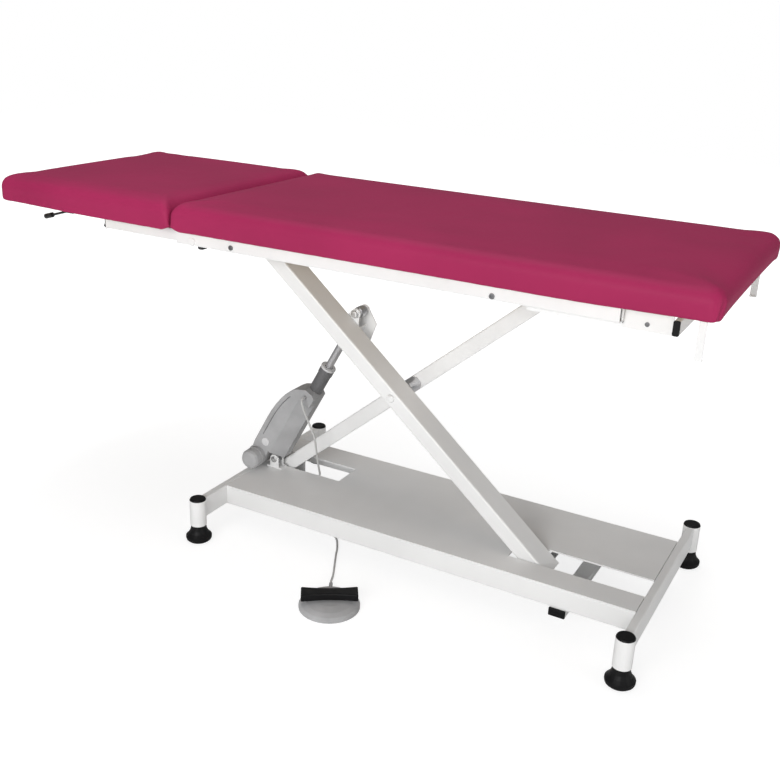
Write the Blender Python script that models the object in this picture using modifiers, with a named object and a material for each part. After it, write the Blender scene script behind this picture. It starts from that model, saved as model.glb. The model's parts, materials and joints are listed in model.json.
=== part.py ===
# Two-section examination couch on an electric scissor lift.
# Metres, +Z up, +X towards the foot end, the near long side at -Y. The model stands at full height.
import math

import bmesh
import bpy
from mathutils import Matrix, Vector

# Fits
CLEARANCE = 0.0003
ROUND_STEPS = 24
SMALL_STEPS = 16
WELD_DISTANCE = 0.00001

# Couch top
COUCH_WIDTH = 0.62
CUSHION_JOINT_BACK = 0.0831509
CUSHION_GAP = 0.005
HEAD_CUSHION_LENGTH = 0.5531
BODY_BEYOND_TRAVEL = 0.1296203
CUSHION_THICKNESS = 0.068
CUSHION_EDGE = 0.024
CUSHION_FOOT_EDGE = 0.012
CUSHION_TOP_ROUND = 0.022
CUSHION_FOOT_ROUND = 0.011
CUSHION_HANG = 0.004
CUSHION_CROWN = 0.0025
CUSHION_DRAW_IN = 0.002
FOLD_LENGTH = 0.075
BOARD_THICKNESS = 0.012
BOARD_INSET = 0.014

# Scissor lift
ARM_HALF = 0.5416
LIFT_ANGLE = math.radians(40.4)
LOW_ANGLE = math.radians(16.4)
TRAVEL_BACK = 0.0028847
ARM_WIDTH = 0.072
ARM_DEPTH = 0.038
ARM_WALL = 0.0025
ARM_CORNER = 0.004
FRONT_ARM_Y = -0.070
REAR_ARM_Y = 0.052
ARM_END = 0.0175
HUB_RADIUS = 0.016
SHAFT_RADIUS = 0.010
SPACER_RADIUS = 0.019
LUG_THICKNESS = 0.008
LUG_RADIUS = 0.020
DRAIN_RADIUS = 0.004

# Rollers and their channels
LOWER_ROLLER_RADIUS = 0.0195
LOWER_ROLLER_WIDTH = 0.021
LOWER_AXLE_RADIUS = 0.008
LOWER_CHANNEL_WALL = 0.003
UPPER_ROLLER_RADIUS = 0.022
UPPER_ROLLER_WIDTH = 0.026
UPPER_AXLE_RADIUS = 0.010
UPPER_CHANNEL_WALL = 0.004
UPPER_CHANNEL_WIDTH = 0.0347
ROLLER_SIDE_GAP = 0.001
CHANNEL_LEAD = 0.034
CHANNEL_RUN_OUT = 0.009
UPPER_RUN_OUT = 0.0222
TYRE_ROUND = 0.0025

# Base
BASE_TOP = 0.1141
BASE_DEPTH = 0.054
BASE_WIDTH = 0.36
PLATE_THICKNESS = 0.004
BASE_RAIL_WIDTH = 0.025
BASE_TUBE_WALL = 0.002
END_BAR_WIDTH = 0.020
FRONT_SLOT_GAP = 0.004
REAR_SLOT_NEAR_GAP = 0.012
REAR_SLOT_FAR_GAP = 0.006
FRONT_SLOT_LEAD = 0.0774
REAR_SLOT_REACH = 0.2044
CROSS_TUBE_BACK = 0.1845
CROSS_TUBE_WIDTH = 0.040
CROSS_TUBE_DEPTH = 0.020

# Corner posts and levelling feet
POST_BEYOND_TRAVEL = 0.0449356
POST_Y = 0.2864
POST_RADIUS = 0.0212
POST_WALL = 0.0026
POST_BOTTOM = 0.0448
CAP_TOP = 0.1203
CAP_RIM = 0.005
CAP_SKIRT = 0.009
FOOT_RADIUS = 0.0335
FOOT_RIM_TOP = 0.0135
FOOT_RIM_BOTTOM = 0.0085
FOOT_FLARE = ((0.0195, 0.040), (0.0215, 0.031), (0.0255, 0.0225), (0.0305, 0.0165))
FOOT_SOLE = ((0.0322, 0.0042), (0.0275, 0))
FOOT_STEM_RADIUS = 0.0165
FOOT_STEM_TOP = 0.096

# Bed frame
BED_RAIL_WIDTH = 0.020
BED_RAIL_DEPTH = 0.040
BED_RAIL_INSET = 0.040
BED_RAIL_END_X = 0.464
BED_TUBE_WALL = 0.002
HEAD_BAR_AHEAD = 0.0734491
HEAD_BAR_WIDTH = 0.030
HEAD_BAR_DEPTH = 0.020
MID_BAR_X = 0.200
MID_BAR_WIDTH = 0.040
FOOT_BAR_WIDTH = 0.013
FOOT_BAR_DEPTH = 0.030
FOOT_BAR_DROP = 0.0206
PLUG_FLANGE = 0.004
PLUG_DEPTH = 0.016
PLUG_ROUND = 0.003
HOLDER_BACK = 0.0283
HOLDER_WIDTH = 0.015
HOLDER_THICKNESS = 0.003
HOLDER_DROP = 0.082
HOLDER_FLANGE = 0.045
HOLDER_HOOK = 0.008

# Head section
HEAD_PIVOT_AHEAD = 0.0036
HEAD_PIVOT_DROP = 0.0263
HEAD_RANGE = math.radians(65)
HEAD_PIN_RADIUS = 0.008
HEAD_EYE_RADIUS = 0.0125
HEAD_ARM_WIDTH = 0.020
HEAD_ARM_LENGTH = 0.256
HEAD_ARM_THIN_RUN = 0.060
HEAD_ARM_THIN_TOP = 0.014
HEAD_ARM_TAPER_RUN = 0.100
HINGE_BAR_BACK = 0.066
HINGE_BAR_WIDTH = 0.024
HINGE_BAR_DEPTH = 0.028
FAR_BAR_AHEAD = 0.043
FAR_BAR_WIDTH = 0.030

# Release lever
LEVER_INSET = 0.060
LEVER_ROOT_BACK = 0.370
LEVER_ROOT_DROP = 0.011
LEVER_ROD_RADIUS = 0.003
LEVER_REACH = 0.080
LEVER_KNOB_DROP = 0.034
LEVER_KNOB_RADIUS = 0.0065
LEVER_KNOB_LENGTH = 0.026
LEVER_LUG_THICKNESS = 0.004
LEVER_LUG_LENGTH = 0.024

# Gas spring of the head section
GAS_Y = 0.045
GAS_FIXED_AHEAD = 0.049
GAS_FIXED_DROP = 0.0803
GAS_MOVING_BACK = 0.020
GAS_MOVING_DROP = 0.1063
GAS_CYLINDER_RADIUS = 0.011
GAS_CYLINDER_LENGTH = 0.132
GAS_BORE_START = 0.045
GAS_ROD_RADIUS = 0.005
GAS_ROD_INSIDE = 0.072
GAS_EYE_RADIUS = 0.010
GAS_EYE_WIDTH = 0.0236
GAS_EAR_THICKNESS = 0.004
GAS_EAR_RADIUS = 0.013

# Actuator
ACTUATOR_Y = -0.010
ACTUATOR_FOOT_AHEAD = 0.0114491
ACTUATOR_FOOT_RISE = 0.0259
ACTUATOR_PIN_ALONG = 0.321
ACTUATOR_PIN_OVER = 0.033
ACTUATOR_TUBE_RADIUS = 0.018
ACTUATOR_TUBE_TOP = 0.338
ACTUATOR_COLLAR_RADIUS = 0.0195
ACTUATOR_COLLAR_LENGTH = 0.018
ACTUATOR_ROD_RADIUS = 0.010
ACTUATOR_ROD_INSIDE = 0.125
ACTUATOR_EYE_RADIUS = 0.014
ACTUATOR_EYE_WIDTH = 0.020
ACTUATOR_LUG_RADIUS = 0.012
ACTUATOR_LUG_WIDTH = 0.018
ACTUATOR_PIN_RADIUS = 0.006
HOUSING_START = 0.026
HOUSING_END = 0.264
HOUSING_NEAR = 0.037
HOUSING_FAR = 0.0215
HOUSING_WALL = 0.0037
HOUSING_HUMP = 0.069
HOUSING_BEVEL = 0.007
FACET_OFFSET = 0.014
FACET_LOW = 0.030
FACET_BACK = 0.0045
FACET_END = 0.228
GEARCASE_DROP = 0.026
GEARCASE_INSET = 0.0185
MOTOR_ALONG = -0.008
MOTOR_OFFSET = 0.040
MOTOR_RADIUS = 0.027
MOTOR_LENGTH = 0.042
BRACKET_EAR = 0.004
BRACKET_FOOT = 0.048
BRACKET_FOOT_THICKNESS = 0.004
BRACKET_EAR_RADIUS = 0.0135
ROD_EAR_THICKNESS = 0.003
ROD_EAR_GAP = 0.0207
ROD_SLEEVE_RADIUS = 0.0105
ROD_LUG_RADIUS = 0.0135
ROD_WEB_ALONG = 0.031
ROD_PLATE_TOP = 0.048
ROD_PLATE_REACH = 0.064

# Foot switch and its cable
SWITCH_X = -0.110
SWITCH_Y = -0.369
SWITCH_RADIUS = 0.0725
SWITCH_HEIGHT = 0.020
SWITCH_TURN = math.radians(32.8)
PEDAL_LENGTH = 0.134
PEDAL_END_WIDTH = 0.040
PEDAL_WAIST = 0.028
PEDAL_THICKNESS = 0.018
PEDAL_LIFT = 0.0035
RIDGE_WIDTH = 0.006
GLAND_BEARING = math.radians(119.8)
GLAND_RADIUS = 0.0045
GLAND_LENGTH = 0.015
GLAND_HEIGHT = 0.0065
DRIVE_GLAND_ALONG = 0.2474
DRIVE_GLAND_OFFSET = 0.0018
DRIVE_GLAND_LENGTH = 0.0085
CABLE_RADIUS = 0.00275
CABLE_STEPS = 3

# Heights and places that follow from the sizes above
PLATE_BOTTOM = BASE_TOP - PLATE_THICKNESS
BASE_BOTTOM = BASE_TOP - BASE_DEPTH
LOWER_CHANNEL_HALF = LOWER_ROLLER_RADIUS + CLEARANCE + LOWER_CHANNEL_WALL
LOW_PIVOT_Z = PLATE_BOTTOM - CLEARANCE - LOWER_CHANNEL_HALF
HALF_TRAVEL = ARM_HALF * math.cos(LOW_ANGLE)
PIVOT_X = -HALF_TRAVEL - TRAVEL_BACK
SCISSOR_X = PIVOT_X + ARM_HALF * math.cos(LIFT_ANGLE)
POST_X = HALF_TRAVEL + POST_BEYOND_TRAVEL
CROSS_TUBE_X = POST_X - CROSS_TUBE_BACK
BED_RAIL_OUTER_Y = COUCH_WIDTH / 2 - BED_RAIL_INSET
BED_RAIL_INNER_Y = BED_RAIL_OUTER_Y - BED_RAIL_WIDTH
HOLDER_Y = BED_RAIL_OUTER_Y
LEVER_Y = LEVER_INSET - COUCH_WIDTH / 2
ACTUATOR_FOOT_X = PIVOT_X + ACTUATOR_FOOT_AHEAD
ROLLER_X = SCISSOR_X + ARM_HALF * math.cos(LIFT_ANGLE)
ROLLER_LOW_X = PIVOT_X + 2 * HALF_TRAVEL
SCISSOR_Z = LOW_PIVOT_Z + ARM_HALF * math.sin(LIFT_ANGLE)
TOP_PIVOT_Z = LOW_PIVOT_Z + 2 * ARM_HALF * math.sin(LIFT_ANGLE)
UPPER_CHANNEL_HALF = UPPER_ROLLER_RADIUS + CLEARANCE + UPPER_CHANNEL_WALL
BED_TOP = TOP_PIVOT_Z + UPPER_CHANNEL_HALF
CUSHION_BOTTOM = BED_TOP + CLEARANCE
HEAD_PIVOT_Z = BED_TOP - HEAD_PIVOT_DROP
INNER_END_X = POST_X - END_BAR_WIDTH / 2 - CLEARANCE
CUSHION_JOINT_X = PIVOT_X - CUSHION_JOINT_BACK
HEAD_CUSHION_END = CUSHION_JOINT_X - CUSHION_GAP / 2
HEAD_CUSHION_START = HEAD_CUSHION_END - HEAD_CUSHION_LENGTH
BODY_CUSHION_START = CUSHION_JOINT_X + CUSHION_GAP / 2
BODY_CUSHION_END = ROLLER_LOW_X + BODY_BEYOND_TRAVEL
HOLDER_X = BODY_CUSHION_END - HOLDER_BACK
HEAD_BAR_X = PIVOT_X + HEAD_BAR_AHEAD
HEAD_PIVOT_X = CUSHION_JOINT_X + HEAD_PIVOT_AHEAD
HEAD_ARM_END_X = HEAD_PIVOT_X - HEAD_ARM_LENGTH
HINGE_BAR_X = HEAD_PIVOT_X - HINGE_BAR_BACK
FAR_BAR_X = HEAD_ARM_END_X + FAR_BAR_AHEAD
LEVER_ROOT_X = HEAD_PIVOT_X - LEVER_ROOT_BACK
LEVER_KNOB_X = LEVER_ROOT_X - LEVER_REACH
GAS_FIXED_X = HEAD_BAR_X + GAS_FIXED_AHEAD
GAS_MOVING_X = HEAD_PIVOT_X - GAS_MOVING_BACK
SWITCH_FRONT_Y = SWITCH_Y - SWITCH_RADIUS
ORIGIN = Vector((
    (HEAD_CUSHION_START + BODY_CUSHION_END) / 2,
    (SWITCH_FRONT_Y + POST_Y + FOOT_RADIUS) / 2,
    0,
))


def lift_point(along, over, angle):
    # A point on the front arm, measured along it from the top pivot and square to it
    top = LOW_PIVOT_Z + 2 * ARM_HALF * math.sin(angle)
    x = PIVOT_X + along * math.cos(angle) + over * math.sin(angle)
    return Vector((x, top - along * math.sin(angle) + over * math.cos(angle)))


ACTUATOR_FOOT = Vector((ACTUATOR_FOOT_X, BASE_TOP + ACTUATOR_FOOT_RISE))
ACTUATOR_PIN = lift_point(ACTUATOR_PIN_ALONG, ACTUATOR_PIN_OVER, LIFT_ANGLE)
ACTUATOR_SPAN = (ACTUATOR_PIN - ACTUATOR_FOOT).length
ACTUATOR_LEAN = math.atan2(ACTUATOR_PIN.y - ACTUATOR_FOOT.y, ACTUATOR_PIN.x - ACTUATOR_FOOT.x)
GAS_FIXED = Vector((GAS_FIXED_X, BED_TOP - GAS_FIXED_DROP))
GAS_MOVING = Vector((GAS_MOVING_X, BED_TOP - GAS_MOVING_DROP))
GAS_SPAN = (GAS_MOVING - GAS_FIXED).length
GAS_LEAN = math.atan2(GAS_MOVING.y - GAS_FIXED.y, GAS_MOVING.x - GAS_FIXED.x)

# Where each moving body turns, in the couch's own frame
PIVOTS = {
    "base": Vector((0, 0, 0)),
    "pedal": Vector((SWITCH_X, SWITCH_Y, SWITCH_HEIGHT + PEDAL_LIFT)),
    "rear_arm": Vector((PIVOT_X, REAR_ARM_Y, LOW_PIVOT_Z)),
    "front_arm": Vector((SCISSOR_X, FRONT_ARM_Y, SCISSOR_Z)),
    "bed": Vector((PIVOT_X, FRONT_ARM_Y, TOP_PIVOT_Z)),
    "head": Vector((HEAD_PIVOT_X, 0, HEAD_PIVOT_Z)),
    "lever": Vector((LEVER_ROOT_X, LEVER_Y, BED_TOP - LEVER_ROOT_DROP)),
    "gas_cylinder": Vector((GAS_FIXED.x, GAS_Y, GAS_FIXED.y)),
    "gas_rod": Vector((GAS_MOVING.x, GAS_Y, GAS_MOVING.y)),
    "actuator": Vector((ACTUATOR_FOOT.x, ACTUATOR_Y, ACTUATOR_FOOT.y)),
    "actuator_rod": Vector((ACTUATOR_PIN.x, ACTUATOR_Y, ACTUATOR_PIN.y)),
    "lower_rollers": Vector((ROLLER_X, 0, LOW_PIVOT_Z)),
    "upper_rollers": Vector((ROLLER_X, 0, TOP_PIVOT_Z)),
}
ENDS = {"head": -1, "foot": 1}
SIDES = {"near": -1, "far": 1}

for leftover in list(bpy.data.objects):
    bpy.data.objects.remove(leftover, do_unlink=True)
COUCH = bpy.data.collections.new("examination_table")
CUTTERS = bpy.data.collections.new("cutters")
bpy.context.scene.collection.children.link(COUCH)
bpy.context.scene.collection.children.link(CUTTERS)


def finish(name, colour, roughness, metallic=0.0):
    material = bpy.data.materials.new(name)
    material.use_nodes = True
    shader = material.node_tree.nodes["Principled BSDF"]
    shader.inputs["Base Color"].default_value = (*colour, 1)
    shader.inputs["Roughness"].default_value = roughness
    shader.inputs["Metallic"].default_value = metallic
    return material


PAINT = finish("white_paint", (0.82, 0.82, 0.81), 0.35)
VINYL = finish("crimson_vinyl", (0.36, 0.035, 0.095), 0.45)
PLYWOOD = finish("plywood", (0.55, 0.40, 0.25), 0.7)
BLACK = finish("black_plastic", (0.015, 0.015, 0.016), 0.45)
GREY = finish("grey_plastic", (0.40, 0.40, 0.41), 0.5)
DARK_TUBE = finish("dark_tube", (0.17, 0.17, 0.18), 0.4, 0.3)
BLACK_STEEL = finish("black_steel", (0.015, 0.015, 0.016), 0.35)
STEEL = finish("bright_steel", (0.60, 0.60, 0.61), 0.25, 1.0)
CABLE_GREY = finish("cable_sheath", (0.55, 0.55, 0.54), 0.5)


def make_pivots():
    origin = bpy.data.objects.new("couch_origin", None)
    origin.location = -ORIGIN
    COUCH.objects.link(origin)
    empties = {}
    for name, point in PIVOTS.items():
        empty = bpy.data.objects.new(name + "_pivot", None)
        empty.parent = origin
        empty.location = point
        COUCH.objects.link(empty)
        empties[name] = empty
    return empties


EMPTIES = make_pivots()


def place(piece, body, location, turn=0.0):
    # Stands a piece on its body's pivot; turn is about +Y
    piece.parent = EMPTIES[body]
    piece.location = Vector(location) - PIVOTS[body]
    piece.rotation_euler = (0, turn, 0)


def solid(name, mesh, material, body, location, turn=0.0):
    piece = bpy.data.objects.new(name, mesh)
    mesh.materials.append(material)
    COUCH.objects.link(piece)
    place(piece, body, location, turn)
    return piece


def guide(name, mesh, body, location, turn=0.0):
    # A shape that only cuts or joins another piece
    piece = bpy.data.objects.new(name, mesh)
    CUTTERS.objects.link(piece)
    piece.hide_render = True
    piece.display_type = "WIRE"
    place(piece, body, location, turn)
    return piece


def combine(piece, tool, operation):
    step = piece.modifiers.new(operation.lower(), "BOOLEAN")
    step.operation = operation
    step.solver = "EXACT"
    step.object = tool


def finished_mesh(bm, name, matrix=None):
    if matrix:
        bmesh.ops.transform(bm, matrix=matrix, verts=bm.verts)
    mesh = bpy.data.meshes.new(name)
    bm.to_mesh(mesh)
    bm.free()
    return mesh


AXIS_TURNS = {
    "X": Matrix(((0, 0, 1, 0), (1, 0, 0, 0), (0, 1, 0, 0), (0, 0, 0, 1))),
    "Y": Matrix(((1, 0, 0, 0), (0, 0, -1, 0), (0, 1, 0, 0), (0, 0, 0, 1))),
    "Z": Matrix.Identity(4),
}


def box(name, size, bevel=0.0):
    bm = bmesh.new()
    bmesh.ops.create_cube(bm, size=1)
    bmesh.ops.scale(bm, vec=size, verts=bm.verts)
    if bevel:
        bmesh.ops.bevel(bm, geom=bm.edges[:], offset=bevel, segments=1, affect="EDGES")
    return finished_mesh(bm, name)


def bar(name, radius, length, axis, steps=ROUND_STEPS):
    bm = bmesh.new()
    bmesh.ops.create_cone(bm, cap_ends=True, radius1=radius, radius2=radius, depth=length, segments=steps)
    mesh = finished_mesh(bm, name, AXIS_TURNS[axis])
    mesh.shade_smooth()
    mesh.set_sharp_from_angle(angle=math.radians(40))
    return mesh


def circle(radius, steps=ROUND_STEPS, centre=(0, 0)):
    turns = [2 * math.pi * step / steps for step in range(steps)]
    return [(centre[0] + radius * math.cos(t), centre[1] + radius * math.sin(t)) for t in turns]


def arc(centre, radius, start, end, steps):
    turns = [math.radians(start + (end - start) * step / steps) for step in range(steps + 1)]
    return [(centre[0] + radius * math.cos(t), centre[1] + radius * math.sin(t)) for t in turns]


def rounded(width, height, radius, steps=2):
    loop = []
    for quarter, (side_u, side_v) in enumerate(((1, 1), (-1, 1), (-1, -1), (1, -1))):
        centre = (side_u * (width / 2 - radius), side_v * (height / 2 - radius))
        loop += arc(centre, radius, 90 * quarter, 90 * quarter + 90, steps)
    return loop


def outline(name, loops, depth, axis):
    # A flat outline with its holes, given half its thickness each way and turned to face along axis
    curve = bpy.data.curves.new(name, "CURVE")
    curve.dimensions = "2D"
    curve.fill_mode = "BOTH"
    curve.extrude = depth / 2
    for loop in loops:
        spline = curve.splines.new("POLY")
        spline.points.add(len(loop) - 1)
        spline.use_cyclic_u = True
        for point, (u, v) in zip(spline.points, loop):
            point.co = (u, v, 0, 1)
    sheet = bpy.data.objects.new(name, curve)
    CUTTERS.objects.link(sheet)
    mesh = bpy.data.meshes.new_from_object(sheet.evaluated_get(bpy.context.evaluated_depsgraph_get()))
    bpy.data.objects.remove(sheet, do_unlink=True)
    bm = bmesh.new()
    bm.from_mesh(mesh)
    bpy.data.meshes.remove(mesh)
    bmesh.ops.remove_doubles(bm, verts=bm.verts, dist=WELD_DISTANCE)
    bmesh.ops.recalc_face_normals(bm, faces=bm.faces)
    return finished_mesh(bm, name, AXIS_TURNS[axis])


def hollow(name, width, height, wall, length, axis, corner=0.003):
    loops = [rounded(width, height, corner)]
    loops.append(rounded(width - 2 * wall, height - 2 * wall, max(corner - wall, corner / 3)))
    return outline(name, loops, length, axis)


def turned(name, profile, material, body, location, steps=ROUND_STEPS, axis="Z"):
    # Profile points are (radius, height), from the top down the outer side
    mesh = bpy.data.meshes.new(name)
    points = [(radius, 0, height) for radius, height in profile]
    mesh.from_pydata(points, [(step, step + 1) for step in range(len(points) - 1)], [])
    piece = solid(name, mesh, material, body, location)
    screw = piece.modifiers.new("turn", "SCREW")
    screw.steps = steps
    screw.render_steps = steps
    screw.use_merge_vertices = True
    screw.merge_threshold = WELD_DISTANCE
    if axis == "Y":
        piece.rotation_euler = (math.radians(90), 0, 0)
    return piece


def add(piece, mesh, body, location, turn=0.0):
    combine(piece, guide(piece.name + "_join", mesh, body, location, turn), "UNION")


def cut(piece, mesh, body, location, turn=0.0):
    combine(piece, guide(piece.name + "_cut", mesh, body, location, turn), "DIFFERENCE")


def make_base_plate():
    edge = BASE_WIDTH / 2
    front_low = FRONT_ARM_Y - ARM_WIDTH / 2 - FRONT_SLOT_GAP
    front_high = FRONT_ARM_Y + ARM_WIDTH / 2 + FRONT_SLOT_GAP
    rear_low = REAR_ARM_Y - ARM_WIDTH / 2 - REAR_SLOT_NEAR_GAP
    rear_high = REAR_ARM_Y + ARM_WIDTH / 2 + REAR_SLOT_FAR_GAP
    front_start = ROLLER_X - FRONT_SLOT_LEAD
    rear_end = PIVOT_X + REAR_SLOT_REACH
    loop = [(-INNER_END_X, -edge), (INNER_END_X, -edge)]
    loop += [(INNER_END_X, front_low), (front_start, front_low)]
    loop += [(front_start, front_high), (INNER_END_X, front_high)]
    loop += [(INNER_END_X, edge), (-INNER_END_X, edge)]
    loop += [(-INNER_END_X, rear_high), (rear_end, rear_high)]
    loop += [(rear_end, rear_low), (-INNER_END_X, rear_low)]
    mesh = outline("base_plate", [loop], PLATE_THICKNESS, "Z")
    solid("base_plate", mesh, PAINT, "base", (0, 0, BASE_TOP - PLATE_THICKNESS / 2))


def make_base_frame():
    depth = PLATE_BOTTOM - CLEARANCE - BASE_BOTTOM
    for side, sign in SIDES.items():
        name = "base_rail_" + side
        mesh = hollow(name, BASE_RAIL_WIDTH, depth, BASE_TUBE_WALL, 2 * INNER_END_X, "X")
        y = sign * (BASE_WIDTH - BASE_RAIL_WIDTH) / 2
        solid(name, mesh, PAINT, "base", (0, y, BASE_BOTTOM + depth / 2))
    for end, sign in ENDS.items():
        name = "base_end_bar_" + end
        mesh = hollow(name, END_BAR_WIDTH, BASE_DEPTH, BASE_TUBE_WALL, 2 * POST_Y, "Y")
        end_bar = solid(name, mesh, PAINT, "base", (sign * POST_X, 0, BASE_TOP - BASE_DEPTH / 2))
        for side_sign in SIDES.values():
            cope = bar("cope", POST_RADIUS + CLEARANCE, 3 * BASE_DEPTH, "Z")
            cut(end_bar, cope, "base", (sign * POST_X, side_sign * POST_Y, BASE_TOP))
    mesh = hollow("base_cross_tube", CROSS_TUBE_WIDTH, CROSS_TUBE_DEPTH, BASE_TUBE_WALL, BASE_WIDTH, "Y")
    z = BASE_BOTTOM - CLEARANCE - CROSS_TUBE_DEPTH / 2
    solid("base_cross_tube", mesh, PAINT, "base", (CROSS_TUBE_X, 0, z))


def make_corner(end, side):
    where = (ENDS[end] * POST_X, SIDES[side] * POST_Y, 0)
    tag = end + "_" + side
    top = CAP_TOP - CAP_RIM - CLEARANCE
    bore = POST_RADIUS - POST_WALL
    mesh = outline("corner_post_" + tag, [circle(POST_RADIUS), circle(bore)], top - POST_BOTTOM, "Z")
    middle = Vector(where) + Vector((0, 0, (top + POST_BOTTOM) / 2))
    solid("corner_post_" + tag, mesh, PAINT, "base", middle)
    skirt = bore - CLEARANCE
    rim = CAP_TOP - CAP_RIM
    cap = [(0, CAP_TOP), (POST_RADIUS - CAP_RIM, CAP_TOP), (POST_RADIUS - CAP_RIM / 3, CAP_TOP - CAP_RIM / 3)]
    cap += [(POST_RADIUS, rim), (skirt, rim), (skirt, rim - CAP_SKIRT), (0, rim - CAP_SKIRT)]
    turned("post_cap_" + tag, cap, BLACK, "base", where)
    neck = POST_BOTTOM - CLEARANCE
    foot = [(0, FOOT_STEM_TOP), (FOOT_STEM_RADIUS, FOOT_STEM_TOP), (FOOT_STEM_RADIUS, neck)]
    foot += [(FOOT_STEM_RADIUS + POST_WALL, neck), *FOOT_FLARE]
    foot += [(FOOT_RADIUS, FOOT_RIM_TOP), (FOOT_RADIUS, FOOT_RIM_BOTTOM), *FOOT_SOLE, (0, 0)]
    turned("levelling_foot_" + tag, foot, BLACK, "base", where)


def channel_loop(width, half, wall, mouth):
    # A C section: mouth +1 opens towards +Y, -1 towards -Y
    loop = [(0, -half), (width, -half), (width, -half + wall), (wall, -half + wall)]
    loop += [(wall, half - wall), (width, half - wall), (width, half), (0, half)]
    return [(mouth * u, v) for u, v in loop]


def make_lower_channels():
    start = ROLLER_X - CHANNEL_LEAD
    length = INNER_END_X - start
    width = LOWER_ROLLER_WIDTH + 2 * ROLLER_SIDE_GAP + LOWER_CHANNEL_WALL
    for side, sign in SIDES.items():
        name = "lower_channel_" + side
        loop = channel_loop(width, LOWER_CHANNEL_HALF, LOWER_CHANNEL_WALL, -sign)
        mesh = outline(name, [loop], length, "X")
        y = sign * (BASE_WIDTH / 2 - BASE_RAIL_WIDTH - CLEARANCE)
        solid(name, mesh, PAINT, "base", (start + length / 2, y, LOW_PIVOT_Z))


def make_rear_arm_bracket():
    near = REAR_ARM_Y - ARM_WIDTH / 2 - REAR_SLOT_NEAR_GAP - ROLLER_SIDE_GAP
    far = REAR_ARM_Y + ARM_WIDTH / 2 + REAR_SLOT_FAR_GAP + CLEARANCE
    top = PLATE_BOTTOM - CLEARANCE
    floor = LOW_PIVOT_Z - math.hypot(ARM_END, ARM_DEPTH / 2) - CLEARANCE
    strap = floor - LUG_THICKNESS / 2
    loop = [(near - LUG_THICKNESS, strap), (far + LUG_THICKNESS, strap), (far + LUG_THICKNESS, top)]
    loop += [(far, top), (far, floor), (near, floor), (near, top), (near - LUG_THICKNESS, top)]
    width = 2 * (PIVOT_X + INNER_END_X - CLEARANCE)
    mesh = outline("rear_arm_bracket", [loop], width, "X")
    bracket = solid("rear_arm_bracket", mesh, PAINT, "base", (PIVOT_X, 0, 0))
    hole = bar("hole", SHAFT_RADIUS + CLEARANCE, 3 * ARM_WIDTH, "Y")
    cut(bracket, hole, "base", (PIVOT_X, REAR_ARM_Y, LOW_PIVOT_Z))
    return near - LUG_THICKNESS, far + LUG_THICKNESS


def make_arm(name, body, y, turn, solid_end, pin_low, pin_high):
    # Rectangular tube with a hub in the middle and near each end; solid_end is -1 or +1 along the arm
    centre = (SCISSOR_X, y, SCISSOR_Z)
    mesh = hollow(name, ARM_WIDTH, ARM_DEPTH, ARM_WALL, 2 * (ARM_HALF + ARM_END), "X", ARM_CORNER)
    arm = solid(name, mesh, PAINT, body, centre, turn)
    reach = Vector((ARM_HALF * math.cos(turn), 0, -ARM_HALF * math.sin(turn)))
    for share in (-1, 0, 1):
        hub = bar("hub", HUB_RADIUS, ARM_WIDTH, "Y", SMALL_STEPS)
        add(arm, hub, body, Vector(centre) + share * reach)
    pin = bar("pin", SHAFT_RADIUS, pin_high - pin_low, "Y", SMALL_STEPS)
    fixed = Vector(centre) + solid_end * reach
    fixed.y = (pin_low + pin_high) / 2
    add(arm, pin, body, fixed)
    axle_radius = UPPER_AXLE_RADIUS if name == "rear_arm" else LOWER_AXLE_RADIUS
    bore = bar("bore", axle_radius + CLEARANCE, 2 * ARM_WIDTH, "Y", SMALL_STEPS)
    cut(arm, bore, body, Vector(centre) - solid_end * reach)
    bore = bar("bore", SHAFT_RADIUS + CLEARANCE, 2 * ARM_WIDTH, "Y", SMALL_STEPS)
    cut(arm, bore, body, centre)


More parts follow.
